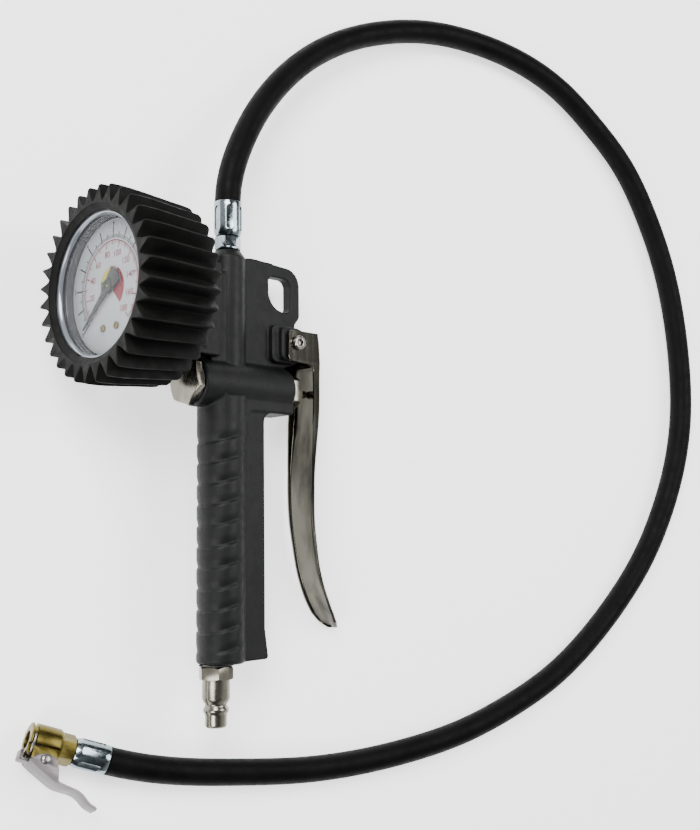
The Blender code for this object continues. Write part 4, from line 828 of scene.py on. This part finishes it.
def wire_mesh(points, radius, sides=16):
    rings = []
    for i, point in enumerate(points):
        along = (Vector(points[min(i + 1, len(points) - 1)]) - Vector(points[max(i - 1, 0)])).normalized()
        side = along.cross(Vector((1, 0, 0))).normalized()
        up = side.cross(along)
        rings.append([tuple(Vector(point) + radius * (math.cos(a) * side + math.sin(a) * up))
                      for a in (math.tau * k / sides for k in range(sides))])
    return loft("wire", rings)


def make_chuck_lever():
    web = [(36.6, 9.9), (31.8, 12.5), (26.4, 15.1), (22.0, 17.0), (16.7, 17.9), (11.6, 18.6), (8.2, 20.3),
           (5.4, 22.3), (1.0, 23.9)]
    knots = smooth_curve([(x, y, 0) for x, y in web], 70, (-0.85, 0.5, 0), (-0.93, 0.35, 0))
    outer, inner = [], []
    for i, point in enumerate(knots):
        along = (knots[min(i + 1, len(knots) - 1)] - knots[max(i - 1, 0)]).normalized()
        outer.append((point.x, point.y))
        inner.append((point.x - along.y * 1.2, point.y + along.x * 1.2))
    claw = [(36.0, 10.3), (37.4, 9.9), (40.6, 9.8), (41.2, 9.2), (41.0, 5.2), (39.8, 5.2), (39.7, 8.7),
            (37.0, 8.75), (36.0, 9.2)]
    ear = rounded([(37.2, 9.6), (34.2, 6.6), (29.8, 5.4), (25.6, 6.2), (22.8, 10.8), (21.6, 16.9),
                   (26.2, 14.9), (31.6, 12.2)], [0.5, 2, 4, 3, 3, 0.4, 0, 0], 8)
    steps = [(UNION, prism("claw", claw, -3.2, 3.2), HERE), (UNION, prism("ear", ear, -6.7, -5.5), HERE),
             (UNION, prism("ear", ear, 5.5, 6.7), HERE),
             (CUT, drill([(0, 9), (1.8, 9), (1.8, -9), (0, -9)], 32), at(*CHUCK_RIVET))]
    for side in (-1, 1):                      # the thumb tab narrows towards its tip
        wedge = [(21.0, 6.8), (14.0, 5.3), (1.6, 4.2), (0.4, 3.0), (-3, 2.0), (-3, 12), (21.0, 12)]
        steps.append((CUT, prism("wedge", [(x, side * z) for x, z in wedge], -30, -8), ACROSS_Y))
    mesh = combine(prism("chuck_lever", outer + inner[::-1], -6.7, 6.7), steps, bevel=0.3, bevel_segments=3)
    return show("clip_lever", mesh, CHUCK, "clip", "chuck_clip", "chuck_lever", smooth=40)


# ================================================================ what stays as the CAD drew it
def dress_inner_nodes():
    """The inner pieces keep their CAD meshes and take a finish."""
    finish = {"valve_poppet": "brass", "poppet_seal": "seal", "stem_o_ring": "seal",
              "pointer_shaft": "brass", "movement_front_plate": "brass", "movement_back_plate": "brass",
              "sector_gear": "brass", "tip_link": "steel", "bourdon_tube": "brass", "gauge_seal": "seal",
              "valve_depressor": "brass"}
    finish.update({f"movement_pillar_{n}": "brass" for n in range(1, 5)})
    for node, look in finish.items():
        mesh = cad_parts[node].data
        mesh.materials.clear()
        mesh.materials.append(LOOKS[look])


# ================================================================ studio
def make_studio():
    floor_mesh = mesh_of("floor", [(-2500, -2500, -0.2), (2500, -2500, -0.2), (2500, 2500, -0.2),
                                   (-2500, 2500, -0.2)],
                         [(0, 1, 2, 3)])
    floor_look = new_material("floor_paper", (0.92, 0.92, 0.92), 0.8)
    vary(floor_look, "Roughness", texture(floor_look, scale=20), 0.75, 0.85)
    floor_look.node_tree.nodes["Principled BSDF"].inputs["Emission Color"].default_value = (1, 1, 1, 1)
    floor_look.node_tree.nodes["Principled BSDF"].inputs["Emission Strength"].default_value = 1.3
    LOOKS["floor"] = floor_look
    to_object("floor", floor_mesh, HERE, "floor")
    for name, spot, aim, size, power in (
            ("key", (-0.55, 0.75, 1.25), (0, 0, 0), 0.8, 30),
            ("fill", (0.9, 0.3, 1.1), (0.05, 0, 0), 0.8, 16),
            ("front", (-0.9, -0.6, 0.8), (0, 0, 0), 0.6, 12)):
        lamp = bpy.data.lights.new(name, "AREA")
        lamp.energy, lamp.size = power, size
        light = bpy.data.objects.new(name, lamp)
        bpy.context.scene.collection.objects.link(light)
        light.location = spot
        light.rotation_euler = (Vector(aim) - Vector(spot)).to_track_quat("-Z", "Y").to_euler()
    world = bpy.data.worlds.new("studio")
    world.use_nodes = True
    # a bright side and a dark side, so that polished metal shows its shape
    tree = world.node_tree
    coords, mapping = tree.nodes.new("ShaderNodeTexCoord"), tree.nodes.new("ShaderNodeMapping")
    gradient, ramp = tree.nodes.new("ShaderNodeTexGradient"), tree.nodes.new("ShaderNodeValToRGB")
    mapping.inputs["Rotation"].default_value = (0, 0, math.radians(35))
    mapping.inputs["Location"].default_value = (0.5, 0, 0)
    mapping.inputs["Scale"].default_value = (0.5, 0.5, 0.5)
    for position, grey in ((0.0, 0.9), (0.28, 0.5), (0.42, 0.05), (0.55, 0.28), (0.72, 0.03), (1.0, 0.3)):
        stop = ramp.color_ramp.elements.new(position)
        stop.color = (grey, grey, grey, 1)
    tree.links.new(coords.outputs["Generated"], mapping.inputs["Vector"])
    tree.links.new(mapping.outputs["Vector"], gradient.inputs["Vector"])
    tree.links.new(gradient.outputs["Fac"], ramp.inputs["Fac"])
    tree.links.new(ramp.outputs["Color"], tree.nodes["Background"].inputs["Color"])
    tree.nodes["Background"].inputs["Strength"].default_value = 1.0
    bpy.context.scene.world = world


make_camera()
make_studio()
sleeves = make_fittings()
chuck_pieces = make_chuck()
make_hose()
make_gun_body()
make_valve()
make_lever()
make_boot()
make_gauge()
make_plug()
dress_inner_nodes()
